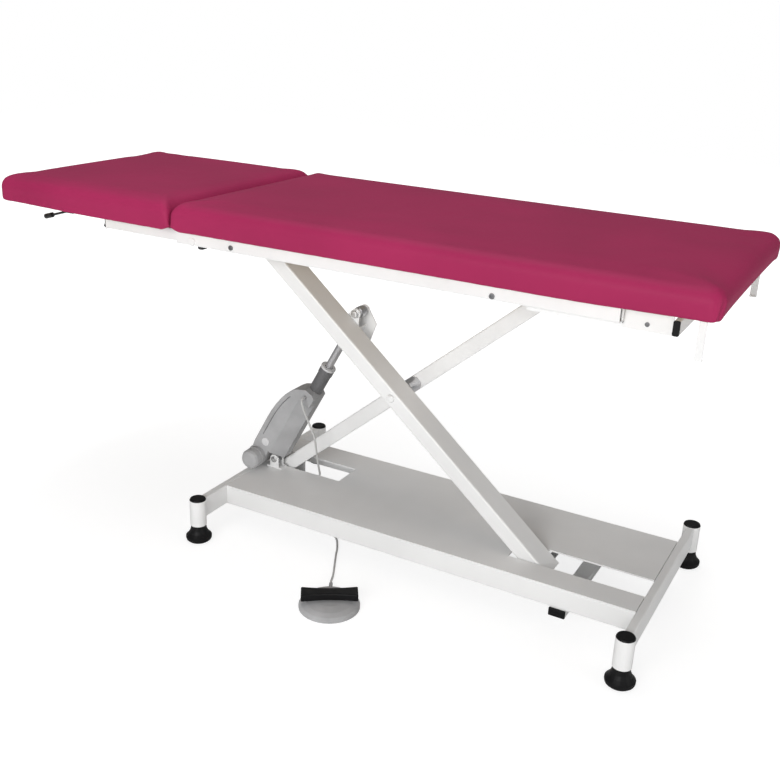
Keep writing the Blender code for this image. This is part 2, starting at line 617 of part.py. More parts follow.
def make_lift(bracket_low, bracket_high):
    make_arm("rear_arm", "rear_arm", REAR_ARM_Y, -LIFT_ANGLE, -1, bracket_low, bracket_high)
    lug = ARM_WIDTH / 2 + ROLLER_SIDE_GAP + LUG_THICKNESS
    make_arm("front_arm", "front_arm", FRONT_ARM_Y, LIFT_ANGLE, -1, FRONT_ARM_Y - lug, FRONT_ARM_Y + lug)
    low = FRONT_ARM_Y - ARM_WIDTH / 2
    high = REAR_ARM_Y + ARM_WIDTH / 2
    mesh = bar("scissor_shaft", SHAFT_RADIUS, high - low, "Y", SMALL_STEPS)
    shaft = solid("scissor_shaft", mesh, STEEL, "rear_arm", (SCISSOR_X, (low + high) / 2, SCISSOR_Z))
    between = REAR_ARM_Y - FRONT_ARM_Y - ARM_WIDTH - 2 * CLEARANCE
    spacer = bar("spacer", SPACER_RADIUS, between, "Y")
    add(shaft, spacer, "rear_arm", (SCISSOR_X, (FRONT_ARM_Y + REAR_ARM_Y) / 2, SCISSOR_Z))
    low_reach = BASE_WIDTH / 2 - BASE_RAIL_WIDTH - CLEARANCE - LOWER_CHANNEL_WALL - ROLLER_SIDE_GAP
    mesh = bar("lower_axle", LOWER_AXLE_RADIUS, 2 * low_reach, "Y", SMALL_STEPS)
    solid("lower_axle", mesh, STEEL, "front_arm", (ROLLER_X, 0, LOW_PIVOT_Z))
    reach = BED_RAIL_INNER_Y - CLEARANCE - UPPER_CHANNEL_WALL - ROLLER_SIDE_GAP
    mesh = bar("upper_axle", UPPER_AXLE_RADIUS, 2 * reach, "Y", SMALL_STEPS)
    solid("upper_axle", mesh, STEEL, "rear_arm", (ROLLER_X, 0, TOP_PIVOT_Z))
    for side, sign in SIDES.items():
        where = (ROLLER_X, sign * (low_reach - LOWER_ROLLER_WIDTH / 2), LOW_PIVOT_Z)
        make_roller("lower_roller_" + side, LOWER_ROLLER_RADIUS, LOWER_ROLLER_WIDTH, LOWER_AXLE_RADIUS,
                    "lower_rollers", where)
        where = (ROLLER_X, sign * (reach - UPPER_ROLLER_WIDTH / 2), TOP_PIVOT_Z)
        make_roller("upper_roller_" + side, UPPER_ROLLER_RADIUS, UPPER_ROLLER_WIDTH, UPPER_AXLE_RADIUS,
                    "upper_rollers", where)


def make_roller(name, radius, width, axle, body, where):
    bore = axle + CLEARANCE
    half = width / 2
    profile = [(bore, half), (radius - TYRE_ROUND, half), (radius, half - TYRE_ROUND)]
    profile += [(radius, TYRE_ROUND - half), (radius - TYRE_ROUND, -half), (bore, -half), (bore, half)]
    turned(name, profile, BLACK, body, where, ROUND_STEPS, "Y")


def make_bed_frame():
    start = HEAD_PIVOT_X - HEAD_EYE_RADIUS
    length = BED_RAIL_END_X - start
    middle = BED_TOP - BED_RAIL_DEPTH / 2
    for side, sign in SIDES.items():
        name = "bed_rail_" + side
        mesh = hollow(name, BED_RAIL_WIDTH, BED_RAIL_DEPTH, BED_TUBE_WALL, length, "X")
        y = sign * (BED_RAIL_INNER_Y + BED_RAIL_WIDTH / 2)
        rail = solid(name, mesh, PAINT, "bed", (start + length / 2, y, middle))
        pin_length = BED_RAIL_WIDTH + HEAD_ARM_WIDTH + CLEARANCE
        pin = bar("pin", HEAD_PIN_RADIUS, pin_length, "Y", SMALL_STEPS)
        outer = BED_RAIL_INNER_Y + BED_RAIL_WIDTH
        add(rail, pin, "bed", (HEAD_PIVOT_X, sign * (outer - pin_length / 2), HEAD_PIVOT_Z))
        make_upper_channel(side, sign)
        make_roll_holder(side, sign)
    make_head_bar()
    span = 2 * (BED_RAIL_INNER_Y - CLEARANCE)
    mesh = hollow("mid_bar", MID_BAR_WIDTH, HEAD_BAR_DEPTH, BED_TUBE_WALL, span, "Y")
    solid("mid_bar", mesh, PAINT, "bed", (MID_BAR_X, 0, BED_TOP - HEAD_BAR_DEPTH / 2))
    mesh = hollow("foot_bar", FOOT_BAR_WIDTH, FOOT_BAR_DEPTH, BED_TUBE_WALL, span, "Y")
    x = upper_channel_end() + CLEARANCE + FOOT_BAR_WIDTH / 2
    z = BED_TOP - FOOT_BAR_DROP - FOOT_BAR_DEPTH / 2
    solid("foot_bar", mesh, PAINT, "bed", (x, 0, z))
    for side, sign in SIDES.items():
        make_bar_plug("foot_bar_plug_" + side, sign, (x, sign * (span / 2 + CLEARANCE), z))


def upper_channel_end():
    return ROLLER_LOW_X + UPPER_ROLLER_RADIUS + UPPER_RUN_OUT


def make_upper_channel(side, sign):
    start = ROLLER_X - CHANNEL_LEAD
    length = upper_channel_end() - start
    loop = channel_loop(UPPER_CHANNEL_WIDTH, UPPER_CHANNEL_HALF, UPPER_CHANNEL_WALL, -sign)
    mesh = outline("upper_channel_" + side, [loop], length, "X")
    where = (start + length / 2, sign * (BED_RAIL_INNER_Y - CLEARANCE), TOP_PIVOT_Z)
    solid("upper_channel_" + side, mesh, PAINT, "bed", where)


def make_bar_plug(name, sign, where):
    # Moulded end plug: a flange over the tube's end and a shank inside it
    mesh = outline(name, [rounded(FOOT_BAR_WIDTH, FOOT_BAR_DEPTH, PLUG_ROUND)], PLUG_FLANGE, "Y")
    plug = solid(name, mesh, BLACK, "bed", Vector(where) + Vector((0, sign * PLUG_FLANGE / 2, 0)))
    inset = 2 * (BED_TUBE_WALL + CLEARANCE)
    shank = box("shank", (FOOT_BAR_WIDTH - inset, PLUG_DEPTH, FOOT_BAR_DEPTH - inset))
    add(plug, shank, "bed", Vector(where) - Vector((0, sign * (PLUG_DEPTH / 2 - PLUG_FLANGE / 2), 0)))


def make_roll_holder(side, sign):
    # Flat strip: a flange under the board, a drop, and a small hook turned inwards
    name = "roll_holder_" + side
    loop = [(0, 0), (-HOLDER_FLANGE, 0), (-HOLDER_FLANGE, -HOLDER_THICKNESS)]
    loop += [(-HOLDER_THICKNESS, -HOLDER_THICKNESS), (-HOLDER_THICKNESS, -HOLDER_DROP)]
    loop += [(-HOLDER_HOOK, -HOLDER_DROP), (-HOLDER_HOOK, -HOLDER_DROP - HOLDER_THICKNESS)]
    loop += [(0, -HOLDER_DROP - HOLDER_THICKNESS)]
    mesh = outline(name, [[(-sign * -u, v) for u, v in loop]], HOLDER_WIDTH, "X")
    solid(name, mesh, PAINT, "bed", (HOLDER_X, sign * HOLDER_Y, BED_TOP))


def make_head_bar():
    # Cross tube carrying the front arm's top pivot and the gas spring
    span = 2 * (BED_RAIL_INNER_Y - CLEARANCE)
    z = BED_TOP - HEAD_BAR_DEPTH / 2
    mesh = hollow("head_bar", HEAD_BAR_WIDTH, HEAD_BAR_DEPTH, BED_TUBE_WALL, span, "Y")
    head_bar = solid("head_bar", mesh, PAINT, "bed", (HEAD_BAR_X, 0, z))
    foot = BED_TOP - HEAD_BAR_DEPTH + BED_TUBE_WALL / 2
    right = HEAD_BAR_X + HEAD_BAR_WIDTH / 2
    lug = arc((PIVOT_X, TOP_PIVOT_Z), LUG_RADIUS, 90, 270, 8)
    lug += [(right, TOP_PIVOT_Z - LUG_RADIUS), (right, foot), (HEAD_BAR_X - HEAD_BAR_WIDTH / 2, foot)]
    hole = circle(SHAFT_RADIUS + CLEARANCE, SMALL_STEPS, (PIVOT_X, TOP_PIVOT_Z))
    for sign in (-1, 1):
        y = FRONT_ARM_Y + sign * (ARM_WIDTH / 2 + ROLLER_SIDE_GAP + LUG_THICKNESS / 2)
        add(head_bar, outline("lug", [lug, hole], LUG_THICKNESS, "Y"), "bed", (0, y, 0))
        ear = arc((GAS_FIXED.x, GAS_FIXED.y), GAS_EAR_RADIUS, 180, 405, 8)
        ear += [(right, foot), (HEAD_BAR_X - HEAD_BAR_WIDTH / 4, foot)]
        y = GAS_Y + sign * (GAS_EYE_WIDTH / 2 + CLEARANCE + GAS_EAR_THICKNESS / 2)
        add(head_bar, outline("ear", [ear], GAS_EAR_THICKNESS, "Y"), "bed", (0, y, 0))


def soft_box(name, length, width, joint):
    # Upholstered pad: rounded edges, a crowned top, sides drawn in between the corners and hanging a
    # little below the board, except at the joint, which is its end on the side of that sign
    half = Vector((length / 2, width / 2, CUSHION_THICKNESS / 2))
    cuts = (13, 11, 5)
    bm = bmesh.new()
    bmesh.ops.create_cube(bm, size=2)
    for axis in range(3):
        edges = [e for e in bm.edges if abs((e.verts[0].co - e.verts[1].co)[axis]) > 1.9]
        bmesh.ops.subdivide_edges(bm, edges=edges, cuts=cuts[axis], use_grid_fill=True)
    share = [6 / (cut_count + 1) for cut_count in cuts]
    for vert in bm.verts:
        above = vert.co.z > 0
        flat_half = half.z - (CUSHION_CROWN if above else 0)
        limits = (half.x, half.y, flat_half)
        edge = CUSHION_FOOT_EDGE + (CUSHION_EDGE - CUSHION_FOOT_EDGE) * (vert.co.z + 1) / 2
        rounds = (edge, edge, CUSHION_TOP_ROUND if above else CUSHION_FOOT_ROUND)
        core = Vector((0, 0, 0))
        lean = Vector((0, 0, 0))
        for axis in range(3):
            t = vert.co[axis]
            inner = 1 - share[axis]
            flat = limits[axis] - rounds[axis]
            core[axis] = math.copysign(flat * min(abs(t) / max(inner, 0.001), 1), t)
            lean[axis] = math.copysign(max(abs(t) - inner, 0) / share[axis], t)
        if lean.length:
            lean.normalize()
        spot = core + Vector([lean[axis] * rounds[axis] for axis in range(3)])
        across = (1 - (spot.x / half.x) ** 2) * (1 - (spot.y / half.y) ** 2)
        if above:
            spot.z += CUSHION_CROWN * max(across, 0)
        elif joint * vert.co.x < 0.99 * (1 - share[0]):
            spot.z += CUSHION_HANG * vert.co.z * max(2 * abs(spot.y) / half.y - 1, 0)
        pull_x = CUSHION_DRAW_IN * max(1 - (spot.y / half.y) ** 2, 0)
        pull_y = CUSHION_DRAW_IN * max(1 - (spot.x / half.x) ** 2, 0)
        spot.x -= pull_x * spot.x / half.x
        spot.y -= pull_y * spot.y / half.y
        vert.co = spot
    bmesh.ops.recalc_face_normals(bm, faces=bm.faces)
    mesh = finished_mesh(bm, name)
    mesh.shade_smooth()
    return mesh


def make_pad(name, body, joint, start, end, board_start, board_end):
    middle = (start + end) / 2
    z = CUSHION_BOTTOM + CUSHION_THICKNESS / 2
    mesh = soft_box(name, end - start, COUCH_WIDTH, joint)
    pad = solid(name + "_cushion", mesh, VINYL, body, (middle, 0, z))
    size = Vector((board_end - board_start, COUCH_WIDTH - 2 * BOARD_INSET, BOARD_THICKNESS))
    where = ((board_start + board_end) / 2, 0, CUSHION_BOTTOM + BOARD_THICKNESS / 2)
    solid(name + "_board", box(name, size), PLYWOOD, body, where)
    room = Vector((2 * CLEARANCE, 2 * CLEARANCE, BOARD_THICKNESS + 2 * CLEARANCE))
    cut(pad, box("pocket", size + room), body, Vector(where) - Vector((0, 0, BOARD_THICKNESS / 2)))
    return pad


def make_top():
    make_pad("body", "bed", -1, BODY_CUSHION_START, BODY_CUSHION_END,
             BODY_CUSHION_START + BOARD_INSET, BODY_CUSHION_END - BOARD_INSET)
    fold_start = HEAD_CUSHION_END - FOLD_LENGTH
    head = make_pad("head", "head", 1, HEAD_CUSHION_START, HEAD_CUSHION_END,
                    HEAD_CUSHION_START + BOARD_INSET, fold_start - BOARD_INSET / 2)
    middle = (HEAD_CUSHION_START + HEAD_CUSHION_END) / 2
    z = CUSHION_BOTTOM + CUSHION_THICKNESS / 2
    mesh = soft_box("head_cushion_fold", HEAD_CUSHION_LENGTH, COUCH_WIDTH, 1)
    fold = solid("head_cushion_fold", mesh, VINYL, "head", (middle, 0, z))
    keep = Vector((HEAD_CUSHION_LENGTH, 2 * COUCH_WIDTH, 4 * CUSHION_THICKNESS))
    shift = Vector((HEAD_CUSHION_LENGTH / 2, 0, 0))
    edge = Vector((fold_start, 0, z))
    cut(fold, box("rest", keep), "head", edge - shift)
    cut(head, box("rest", keep), "head", edge + shift - Vector((CLEARANCE, 0, 0)))


def make_head_frame():
    # Two side arms on the hinge pins, two cross bars, the gas spring's ears and the lever's lug
    bottom = BED_TOP - BED_RAIL_DEPTH
    top = BED_TOP
    pivot = (HEAD_PIVOT_X, HEAD_PIVOT_Z)
    loop = arc(pivot, HEAD_EYE_RADIUS, -90, 90, 8)
    loop += [(HEAD_PIVOT_X - HEAD_ARM_THIN_RUN, HEAD_PIVOT_Z + HEAD_ARM_THIN_TOP)]
    loop += [(HEAD_PIVOT_X - HEAD_ARM_TAPER_RUN, top), (HEAD_ARM_END_X, top)]
    loop += [(HEAD_ARM_END_X, bottom), (HEAD_PIVOT_X - HEAD_ARM_THIN_RUN, bottom)]
    hole = circle(HEAD_PIN_RADIUS + CLEARANCE, SMALL_STEPS, pivot)
    y = BED_RAIL_INNER_Y - CLEARANCE - HEAD_ARM_WIDTH / 2
    mesh = outline("head_frame", [loop, hole], HEAD_ARM_WIDTH, "Y")
    frame = solid("head_frame", mesh, PAINT, "head", (0, -y, 0))
    add(frame, outline("arm", [loop, hole], HEAD_ARM_WIDTH, "Y"), "head", (0, y, 0))
    span = 2 * y
    low = bottom + HINGE_BAR_DEPTH / 2
    high = top - HINGE_BAR_DEPTH / 2
    thin = 2 * BED_TUBE_WALL
    add(frame, box("bar", (HINGE_BAR_WIDTH, span, HINGE_BAR_DEPTH)), "head", (HINGE_BAR_X, 0, low))
    add(frame, box("bar", (FAR_BAR_WIDTH, span, HINGE_BAR_DEPTH)), "head", (FAR_BAR_X, 0, high))
    inside = 2 * (HEAD_PIVOT_X - HEAD_ARM_TAPER_RUN - HEAD_ARM_END_X)
    room = (inside, HEAD_ARM_WIDTH - thin, BED_RAIL_DEPTH - thin)
    for sign in (-1, 1):
        cut(frame, box("hollow", room), "head", (HEAD_ARM_END_X, sign * y, (bottom + top) / 2))
    room = (FAR_BAR_WIDTH - thin, span, HINGE_BAR_DEPTH - thin)
    cut(frame, box("hollow", room), "head", (FAR_BAR_X, 0, high))
    room = (HINGE_BAR_WIDTH - thin, span - HEAD_ARM_WIDTH - thin, HINGE_BAR_DEPTH - thin)
    cut(frame, box("hollow", room), "head", (HINGE_BAR_X, 0, low))
    for sign in (-1, 1):
        drain = bar("drain", DRAIN_RADIUS, HINGE_BAR_DEPTH, "Z", 8)
        cut(frame, drain, "head", (HINGE_BAR_X, sign * span / 4, bottom))
    ear = arc((GAS_MOVING.x, GAS_MOVING.y), GAS_EAR_RADIUS, 225, 405, 8)
    weld = bottom + BED_TUBE_WALL / 2
    ear += [(HINGE_BAR_X + HINGE_BAR_WIDTH / 2, weld), (HINGE_BAR_X - HINGE_BAR_WIDTH / 2, weld)]
    for sign in (-1, 1):
        y = GAS_Y + sign * (GAS_EYE_WIDTH / 2 + CLEARANCE + GAS_EAR_THICKNESS / 2)
        add(frame, outline("ear", [ear], GAS_EAR_THICKNESS, "Y"), "head", (0, y, 0))


def make_release_lever():
    # Bent rod with a knob, hung in a small clip under the board
    root = PIVOTS["lever"]
    clip = LEVER_LUG_LENGTH / 2
    hang = LEVER_ROOT_DROP + 2 * LEVER_ROD_RADIUS
    inner = LEVER_ROD_RADIUS + CLEARANCE
    loop = [(-inner - LEVER_LUG_THICKNESS, 0), (-inner - LEVER_LUG_THICKNESS, -hang), (-inner, -hang)]
    loop += [(-inner, -LEVER_LUG_THICKNESS), (inner, -LEVER_LUG_THICKNESS), (inner, -hang)]
    loop += [(inner + LEVER_LUG_THICKNESS, -hang), (inner + LEVER_LUG_THICKNESS, 0)]
    mesh = outline("lever_clip", [loop], LEVER_LUG_LENGTH, "X")
    solid("lever_clip", mesh, BLACK, "head", (LEVER_ROOT_X, LEVER_Y, BED_TOP))
    knob = Vector((LEVER_KNOB_X, LEVER_Y, BED_TOP - LEVER_KNOB_DROP))
    reach = knob - root
    lean = math.atan2(-reach.z, reach.x)
    rod = bar("release_lever", LEVER_ROD_RADIUS, reach.length + clip, "X", SMALL_STEPS)
    middle = root + reach * (0.5 - clip / 2 / reach.length)
    lever = solid("release_lever", rod, BLACK_STEEL, "lever", middle, lean)
    grip = bar("grip", LEVER_KNOB_RADIUS, LEVER_KNOB_LENGTH, "X", SMALL_STEPS)
    add(lever, grip, "lever", knob, lean)


def make_gas_spring():
    # The cylinder's eye sits on the bed; along the spring X points to the head frame's ears
    turn = -GAS_LEAN
    unit = Vector((math.cos(GAS_LEAN), 0, math.sin(GAS_LEAN)))
    fixed = PIVOTS["gas_cylinder"]
    moving = PIVOTS["gas_rod"]
    middle = fixed + unit * (GAS_CYLINDER_LENGTH + GAS_EYE_RADIUS) / 2
    barrel = bar("gas_cylinder", GAS_CYLINDER_RADIUS, GAS_CYLINDER_LENGTH - GAS_EYE_RADIUS, "X", SMALL_STEPS)
    cylinder = solid("gas_cylinder", barrel, BLACK_STEEL, "gas_cylinder", middle, turn)
    stem = bar("stem", 0.7 * GAS_EYE_RADIUS, 2 * GAS_EYE_RADIUS, "X", SMALL_STEPS)
    add(cylinder, stem, "gas_cylinder", fixed + unit * GAS_EYE_RADIUS, turn)
    add(cylinder, bar("eye", GAS_EYE_RADIUS, GAS_EYE_WIDTH, "Y", SMALL_STEPS), "gas_cylinder", fixed, turn)
    depth = GAS_CYLINDER_LENGTH - GAS_BORE_START
    bore = bar("bore", GAS_ROD_RADIUS + CLEARANCE, 2 * depth, "X", SMALL_STEPS)
    cut(cylinder, bore, "gas_cylinder", fixed + unit * (GAS_BORE_START + depth), turn)
    length = GAS_SPAN - GAS_CYLINDER_LENGTH + GAS_ROD_INSIDE
    rod = bar("gas_rod", GAS_ROD_RADIUS, length, "X", SMALL_STEPS)
    piston_rod = solid("gas_rod", rod, STEEL, "gas_rod", moving - unit * length / 2, turn)
    add(piston_rod, bar("eye", GAS_EYE_RADIUS, GAS_EYE_WIDTH, "Y", SMALL_STEPS), "gas_rod", moving, turn)


def along_actuator(along, offset=0.0, y=ACTUATOR_Y):
    # A point measured along the actuator from its foot pin, and square to it on the housing's side
    unit = Vector((math.cos(ACTUATOR_LEAN), math.sin(ACTUATOR_LEAN)))
    spot = ACTUATOR_FOOT + unit * along + Vector((-unit.y, unit.x)) * offset
    return Vector((spot.x, y, spot.y))


def make_actuator_bracket():
    gap = ACTUATOR_LUG_WIDTH / 2 + CLEARANCE
    floor = BASE_TOP + CLEARANCE
    foot = box("actuator_bracket", (BRACKET_FOOT, 2 * (gap + BRACKET_EAR), BRACKET_FOOT_THICKNESS))
    z = floor + BRACKET_FOOT_THICKNESS / 2
    bracket = solid("actuator_bracket", foot, PAINT, "base", (ACTUATOR_FOOT.x, ACTUATOR_Y, z))
    loop = arc((0, ACTUATOR_FOOT.y), BRACKET_EAR_RADIUS, 0, 180, 8)
    loop += [(-BRACKET_EAR_RADIUS, floor + BRACKET_FOOT_THICKNESS / 2)]
    loop += [(BRACKET_EAR_RADIUS, floor + BRACKET_FOOT_THICKNESS / 2)]
    hole = circle(ACTUATOR_PIN_RADIUS + CLEARANCE, SMALL_STEPS, (0, ACTUATOR_FOOT.y))
    for sign in (-1, 1):
        y = ACTUATOR_Y + sign * (gap + BRACKET_EAR / 2)
        add(bracket, outline("ear", [loop, hole], BRACKET_EAR, "Y"), "base", (ACTUATOR_FOOT.x, y, 0))


def make_actuator_tube():
    turn = -ACTUATOR_LEAN
    foot = along_actuator(0)
    start = ACTUATOR_LUG_RADIUS + 2 * ACTUATOR_TUBE_RADIUS / 3
    middle = along_actuator((start + ACTUATOR_TUBE_TOP) / 2)
    mesh = bar("actuator_tube", ACTUATOR_TUBE_RADIUS, ACTUATOR_TUBE_TOP - start, "X")
    tube = solid("actuator_tube", mesh, DARK_TUBE, "actuator", middle, turn)
    collar = bar("collar", ACTUATOR_COLLAR_RADIUS, ACTUATOR_COLLAR_LENGTH, "X")
    add(tube, collar, "actuator", along_actuator(ACTUATOR_TUBE_TOP - ACTUATOR_COLLAR_LENGTH / 2), turn)
    neck = box("neck", (2 * start, ACTUATOR_LUG_WIDTH, 1.4 * ACTUATOR_LUG_RADIUS))
    add(tube, neck, "actuator", along_actuator(start), turn)
    add(tube, bar("lug", ACTUATOR_LUG_RADIUS, ACTUATOR_LUG_WIDTH, "Y"), "actuator", foot, turn)
    pin_length = ACTUATOR_LUG_WIDTH + 2 * (CLEARANCE + BRACKET_EAR)
    add(tube, bar("pin", ACTUATOR_PIN_RADIUS, pin_length, "Y", SMALL_STEPS), "actuator", foot, turn)
    low_pin = lift_point(ACTUATOR_PIN_ALONG, ACTUATOR_PIN_OVER, LOW_ANGLE)
    stroke = ACTUATOR_SPAN - (low_pin - ACTUATOR_FOOT).length
    depth = ACTUATOR_ROD_INSIDE + stroke + CHANNEL_RUN_OUT
    bore = bar("bore", ACTUATOR_ROD_RADIUS + 2 * CLEARANCE, 2 * depth, "X")
    cut(tube, bore, "actuator", along_actuator(ACTUATOR_TUBE_TOP), turn)


def make_actuator_rod():
    turn = -ACTUATOR_LEAN
    length = ACTUATOR_SPAN - ACTUATOR_TUBE_TOP + ACTUATOR_ROD_INSIDE
    mesh = bar("actuator_rod", ACTUATOR_ROD_RADIUS, length, "X")
    rod = solid("actuator_rod", mesh, STEEL, "actuator_rod", along_actuator(ACTUATOR_SPAN - length / 2), turn)
    eye = bar("eye", ACTUATOR_EYE_RADIUS, ACTUATOR_EYE_WIDTH, "Y")
    add(rod, eye, "actuator_rod", along_actuator(ACTUATOR_SPAN), turn)
    sleeve = bar("sleeve", ROD_SLEEVE_RADIUS, 2 * (ROD_EAR_GAP - CLEARANCE), "Y")
    add(rod, sleeve, "actuator_rod", along_actuator(ACTUATOR_SPAN), turn)


def make_rod_bracket():
    # Bracket welded to the front arm's far face: a round lug, a tapering plate and a web between them
    pin = (ACTUATOR_PIN_ALONG, ACTUATOR_PIN_OVER)
    low = ACTUATOR_PIN_ALONG - ROD_LUG_RADIUS
    web_along = ACTUATOR_PIN_ALONG + ROD_WEB_ALONG
    foot = -ARM_DEPTH / 3
    lug = arc(pin, ROD_LUG_RADIUS, 180, 0, 10) + [(web_along, ARM_DEPTH / 4), (web_along, foot), (low, foot)]
    plate = arc(pin, ROD_LUG_RADIUS, 180, 70, 6)
    plate += [(ACTUATOR_PIN_ALONG + ROD_PLATE_TOP, 0.95 * ACTUATOR_PIN_OVER)]
    plate += [(ACTUATOR_PIN_ALONG + ROD_PLATE_REACH, foot), (low, foot)]
    top = lift_point(0, 0, LIFT_ANGLE)
    y = ROD_EAR_GAP + ROD_EAR_THICKNESS / 2
    mesh = outline("rod_bracket", [plate], ROD_EAR_THICKNESS, "Y")
    bracket = solid("rod_bracket", mesh, PAINT, "front_arm", (top.x, ACTUATOR_Y + y, top.y), LIFT_ANGLE)
    mesh = outline("lug", [lug], ROD_EAR_THICKNESS, "Y")
    add(bracket, mesh, "front_arm", (top.x, ACTUATOR_Y - y, top.y), LIFT_ANGLE)
    span = 2 * (ROD_EAR_GAP + ROD_EAR_THICKNESS)
    height = ARM_DEPTH / 4 - foot
    web = box("web", (ROD_EAR_THICKNESS, span, height))
    spot = lift_point(web_along - ROD_EAR_THICKNESS / 2, foot + height / 2, LIFT_ANGLE)
    add(bracket, web, "front_arm", (spot.x, ACTUATOR_Y, spot.y), LIFT_ANGLE)


def make_housing():
    # Moulded drive housing: a hump beside the tube, ending in the gear case that carries the motor
    side = ACTUATOR_TUBE_RADIUS + HOUSING_WALL
    loop = [(HOUSING_START, -side), (HOUSING_END - side / 3, -side), (HOUSING_END, -side / 2)]
    loop += [(HOUSING_END, side / 2)]
    crest = 0.42 * HOUSING_END
    for step in range(1, 9):
        lean = math.radians(90 * step / 8)
        loop.append((crest + (HOUSING_END - 0.01 - crest) * math.cos(lean),
                     side * 0.9 + (HOUSING_HUMP - side * 0.9) * math.sin(lean)))
    loop += [(HOUSING_START, HOUSING_HUMP)]
    case = MOTOR_RADIUS + HOUSING_WALL
    loop += arc((MOTOR_ALONG, MOTOR_OFFSET), case, 60, 205, 8)
    loop += [(-GEARCASE_DROP, GEARCASE_INSET)]
    loop += [(HOUSING_START, GEARCASE_INSET)]
    width = HOUSING_NEAR + HOUSING_FAR
    mesh = outline("actuator_housing", [loop], width, "Y")
    y = ACTUATOR_Y + (HOUSING_FAR - HOUSING_NEAR) / 2
    turn = -ACTUATOR_LEAN
    housing = solid("actuator_housing", mesh, GREY, "actuator", along_actuator(0, 0, y), turn)
    rounding = housing.modifiers.new("rounding", "BEVEL")
    rounding.width = HOUSING_BEVEL
    rounding.segments = 2
    rounding.limit_method = "ANGLE"
    rounding.angle_limit = math.radians(60)
    bore = bar("bore", ACTUATOR_TUBE_RADIUS + CLEARANCE, 2 * HOUSING_END, "X")
    cut(housing, bore, "actuator", along_actuator(HOUSING_END / 2), turn)
    facet = [(-HOUSING_NEAR - CLEARANCE, FACET_OFFSET), (-HOUSING_NEAR - CLEARANCE, -FACET_LOW)]
    facet += [(-FACET_BACK, -FACET_LOW)]
    mesh = outline("facet", [facet], FACET_END, "X")
    cut(housing, mesh, "actuator", along_actuator(FACET_END / 2), turn)
    near = ACTUATOR_Y - HOUSING_NEAR
    gland = bar("gland", GLAND_RADIUS, 2 * DRIVE_GLAND_LENGTH, "Y", SMALL_STEPS)
    room = along_actuator(DRIVE_GLAND_ALONG, DRIVE_GLAND_OFFSET, near)
    add(housing, gland, "actuator", room, turn)
    profile = [(0, MOTOR_LENGTH), (0.55 * MOTOR_RADIUS, MOTOR_LENGTH)]
    profile += [(0.86 * MOTOR_RADIUS, 0.93 * MOTOR_LENGTH), (MOTOR_RADIUS, 0.78 * MOTOR_LENGTH)]
    profile += [(MOTOR_RADIUS, 0), (0, 0)]
    where = along_actuator(MOTOR_ALONG, MOTOR_OFFSET, near - CLEARANCE)
    turned("actuator_motor", profile, GREY, "actuator", where, ROUND_STEPS, "Y")


def make_foot_switch():
    centre = (SWITCH_X, SWITCH_Y, 0)
    profile = [(0, SWITCH_HEIGHT), (0.45 * SWITCH_RADIUS, 0.97 * SWITCH_HEIGHT)]
    profile += [(0.75 * SWITCH_RADIUS, 0.80 * SWITCH_HEIGHT), (0.93 * SWITCH_RADIUS, 0.56 * SWITCH_HEIGHT)]
    profile += [(SWITCH_RADIUS, 0.32 * SWITCH_HEIGHT), (SWITCH_RADIUS, 0), (0, 0)]
    disc = turned("foot_switch_base", profile, GREY, "base", centre, 32)
    ridge = box("ridge", (PEDAL_LENGTH * 0.7, RIDGE_WIDTH, 2 * (PEDAL_LIFT - CLEARANCE)))
    ridge.transform(Matrix.Rotation(SWITCH_TURN, 4, "Z"))
    add(disc, ridge, "base", (SWITCH_X, SWITCH_Y, SWITCH_HEIGHT))
    gland = bar("gland", GLAND_RADIUS, 2 * GLAND_LENGTH, "X", SMALL_STEPS)
    gland.transform(Matrix.Rotation(GLAND_BEARING, 4, "Z"))
    out = Vector((math.cos(GLAND_BEARING), math.sin(GLAND_BEARING), 0)) * SWITCH_RADIUS
    add(disc, gland, "base", Vector((SWITCH_X, SWITCH_Y, GLAND_HEIGHT)) + out)
    half = PEDAL_LENGTH / 2
    waist = []
    for step in range(9):
        u = half * (1 - step / 4)
        waist.append((u, PEDAL_WAIST / 2 + (PEDAL_END_WIDTH - PEDAL_WAIST) / 2 * (u / half) ** 2))
    loop = waist + [(u, -v) for u, v in reversed(waist)]
    mesh = outline("foot_pedal", [loop], PEDAL_THICKNESS, "Z")
    mesh.transform(Matrix.Rotation(SWITCH_TURN, 4, "Z"))
    z = SWITCH_HEIGHT + PEDAL_LIFT + PEDAL_THICKNESS / 2
    pedal = solid("foot_pedal", mesh, BLACK, "pedal", (SWITCH_X, SWITCH_Y, z))
    rounding = pedal.modifiers.new("rounding", "BEVEL")
    rounding.width = PEDAL_THICKNESS / 6
    rounding.segments = 2
    rounding.limit_method = "ANGLE"
    rounding.angle_limit = math.radians(50)


# The cable's route out of the housing and down through the plate's slot, counted from the actuator's foot
CABLE_DROP = [
    (0.1170, -0.0620, 0.3565), (0.1195, -0.0670, 0.3470),
    (0.1260, -0.0672, 0.3300), (0.1360, -0.0650, 0.3050), (0.1440, -0.0600, 0.2800),
    (0.1500, -0.0530, 0.2550), (0.1505, -0.0440, 0.2150), (0.1480, -0.0320, 0.1750),
    (0.1410, -0.0140, 0.1420), (0.1320, 0.0040, 0.1200), (0.1245, 0.0105, 0.1000),
    (0.1210, 0.0060, 0.0700), (0.1310, -0.0100, 0.0350), (0.1510, -0.0350, 0.0100),
]
# Then in the couch's frame: along the floor under the near rail and into the foot switch
CABLE_FLOOR = [
    (-0.3250, -0.0600, 0.0035), (-0.2925, -0.0800, 0.0030), (-0.2618, -0.0955, 0.0030),
    (-0.2333, -0.1363, 0.0030), (-0.2166, -0.1697, 0.0030), (-0.1736, -0.2503, 0.0040),
    (-0.1596, -0.2824, 0.0058),
]


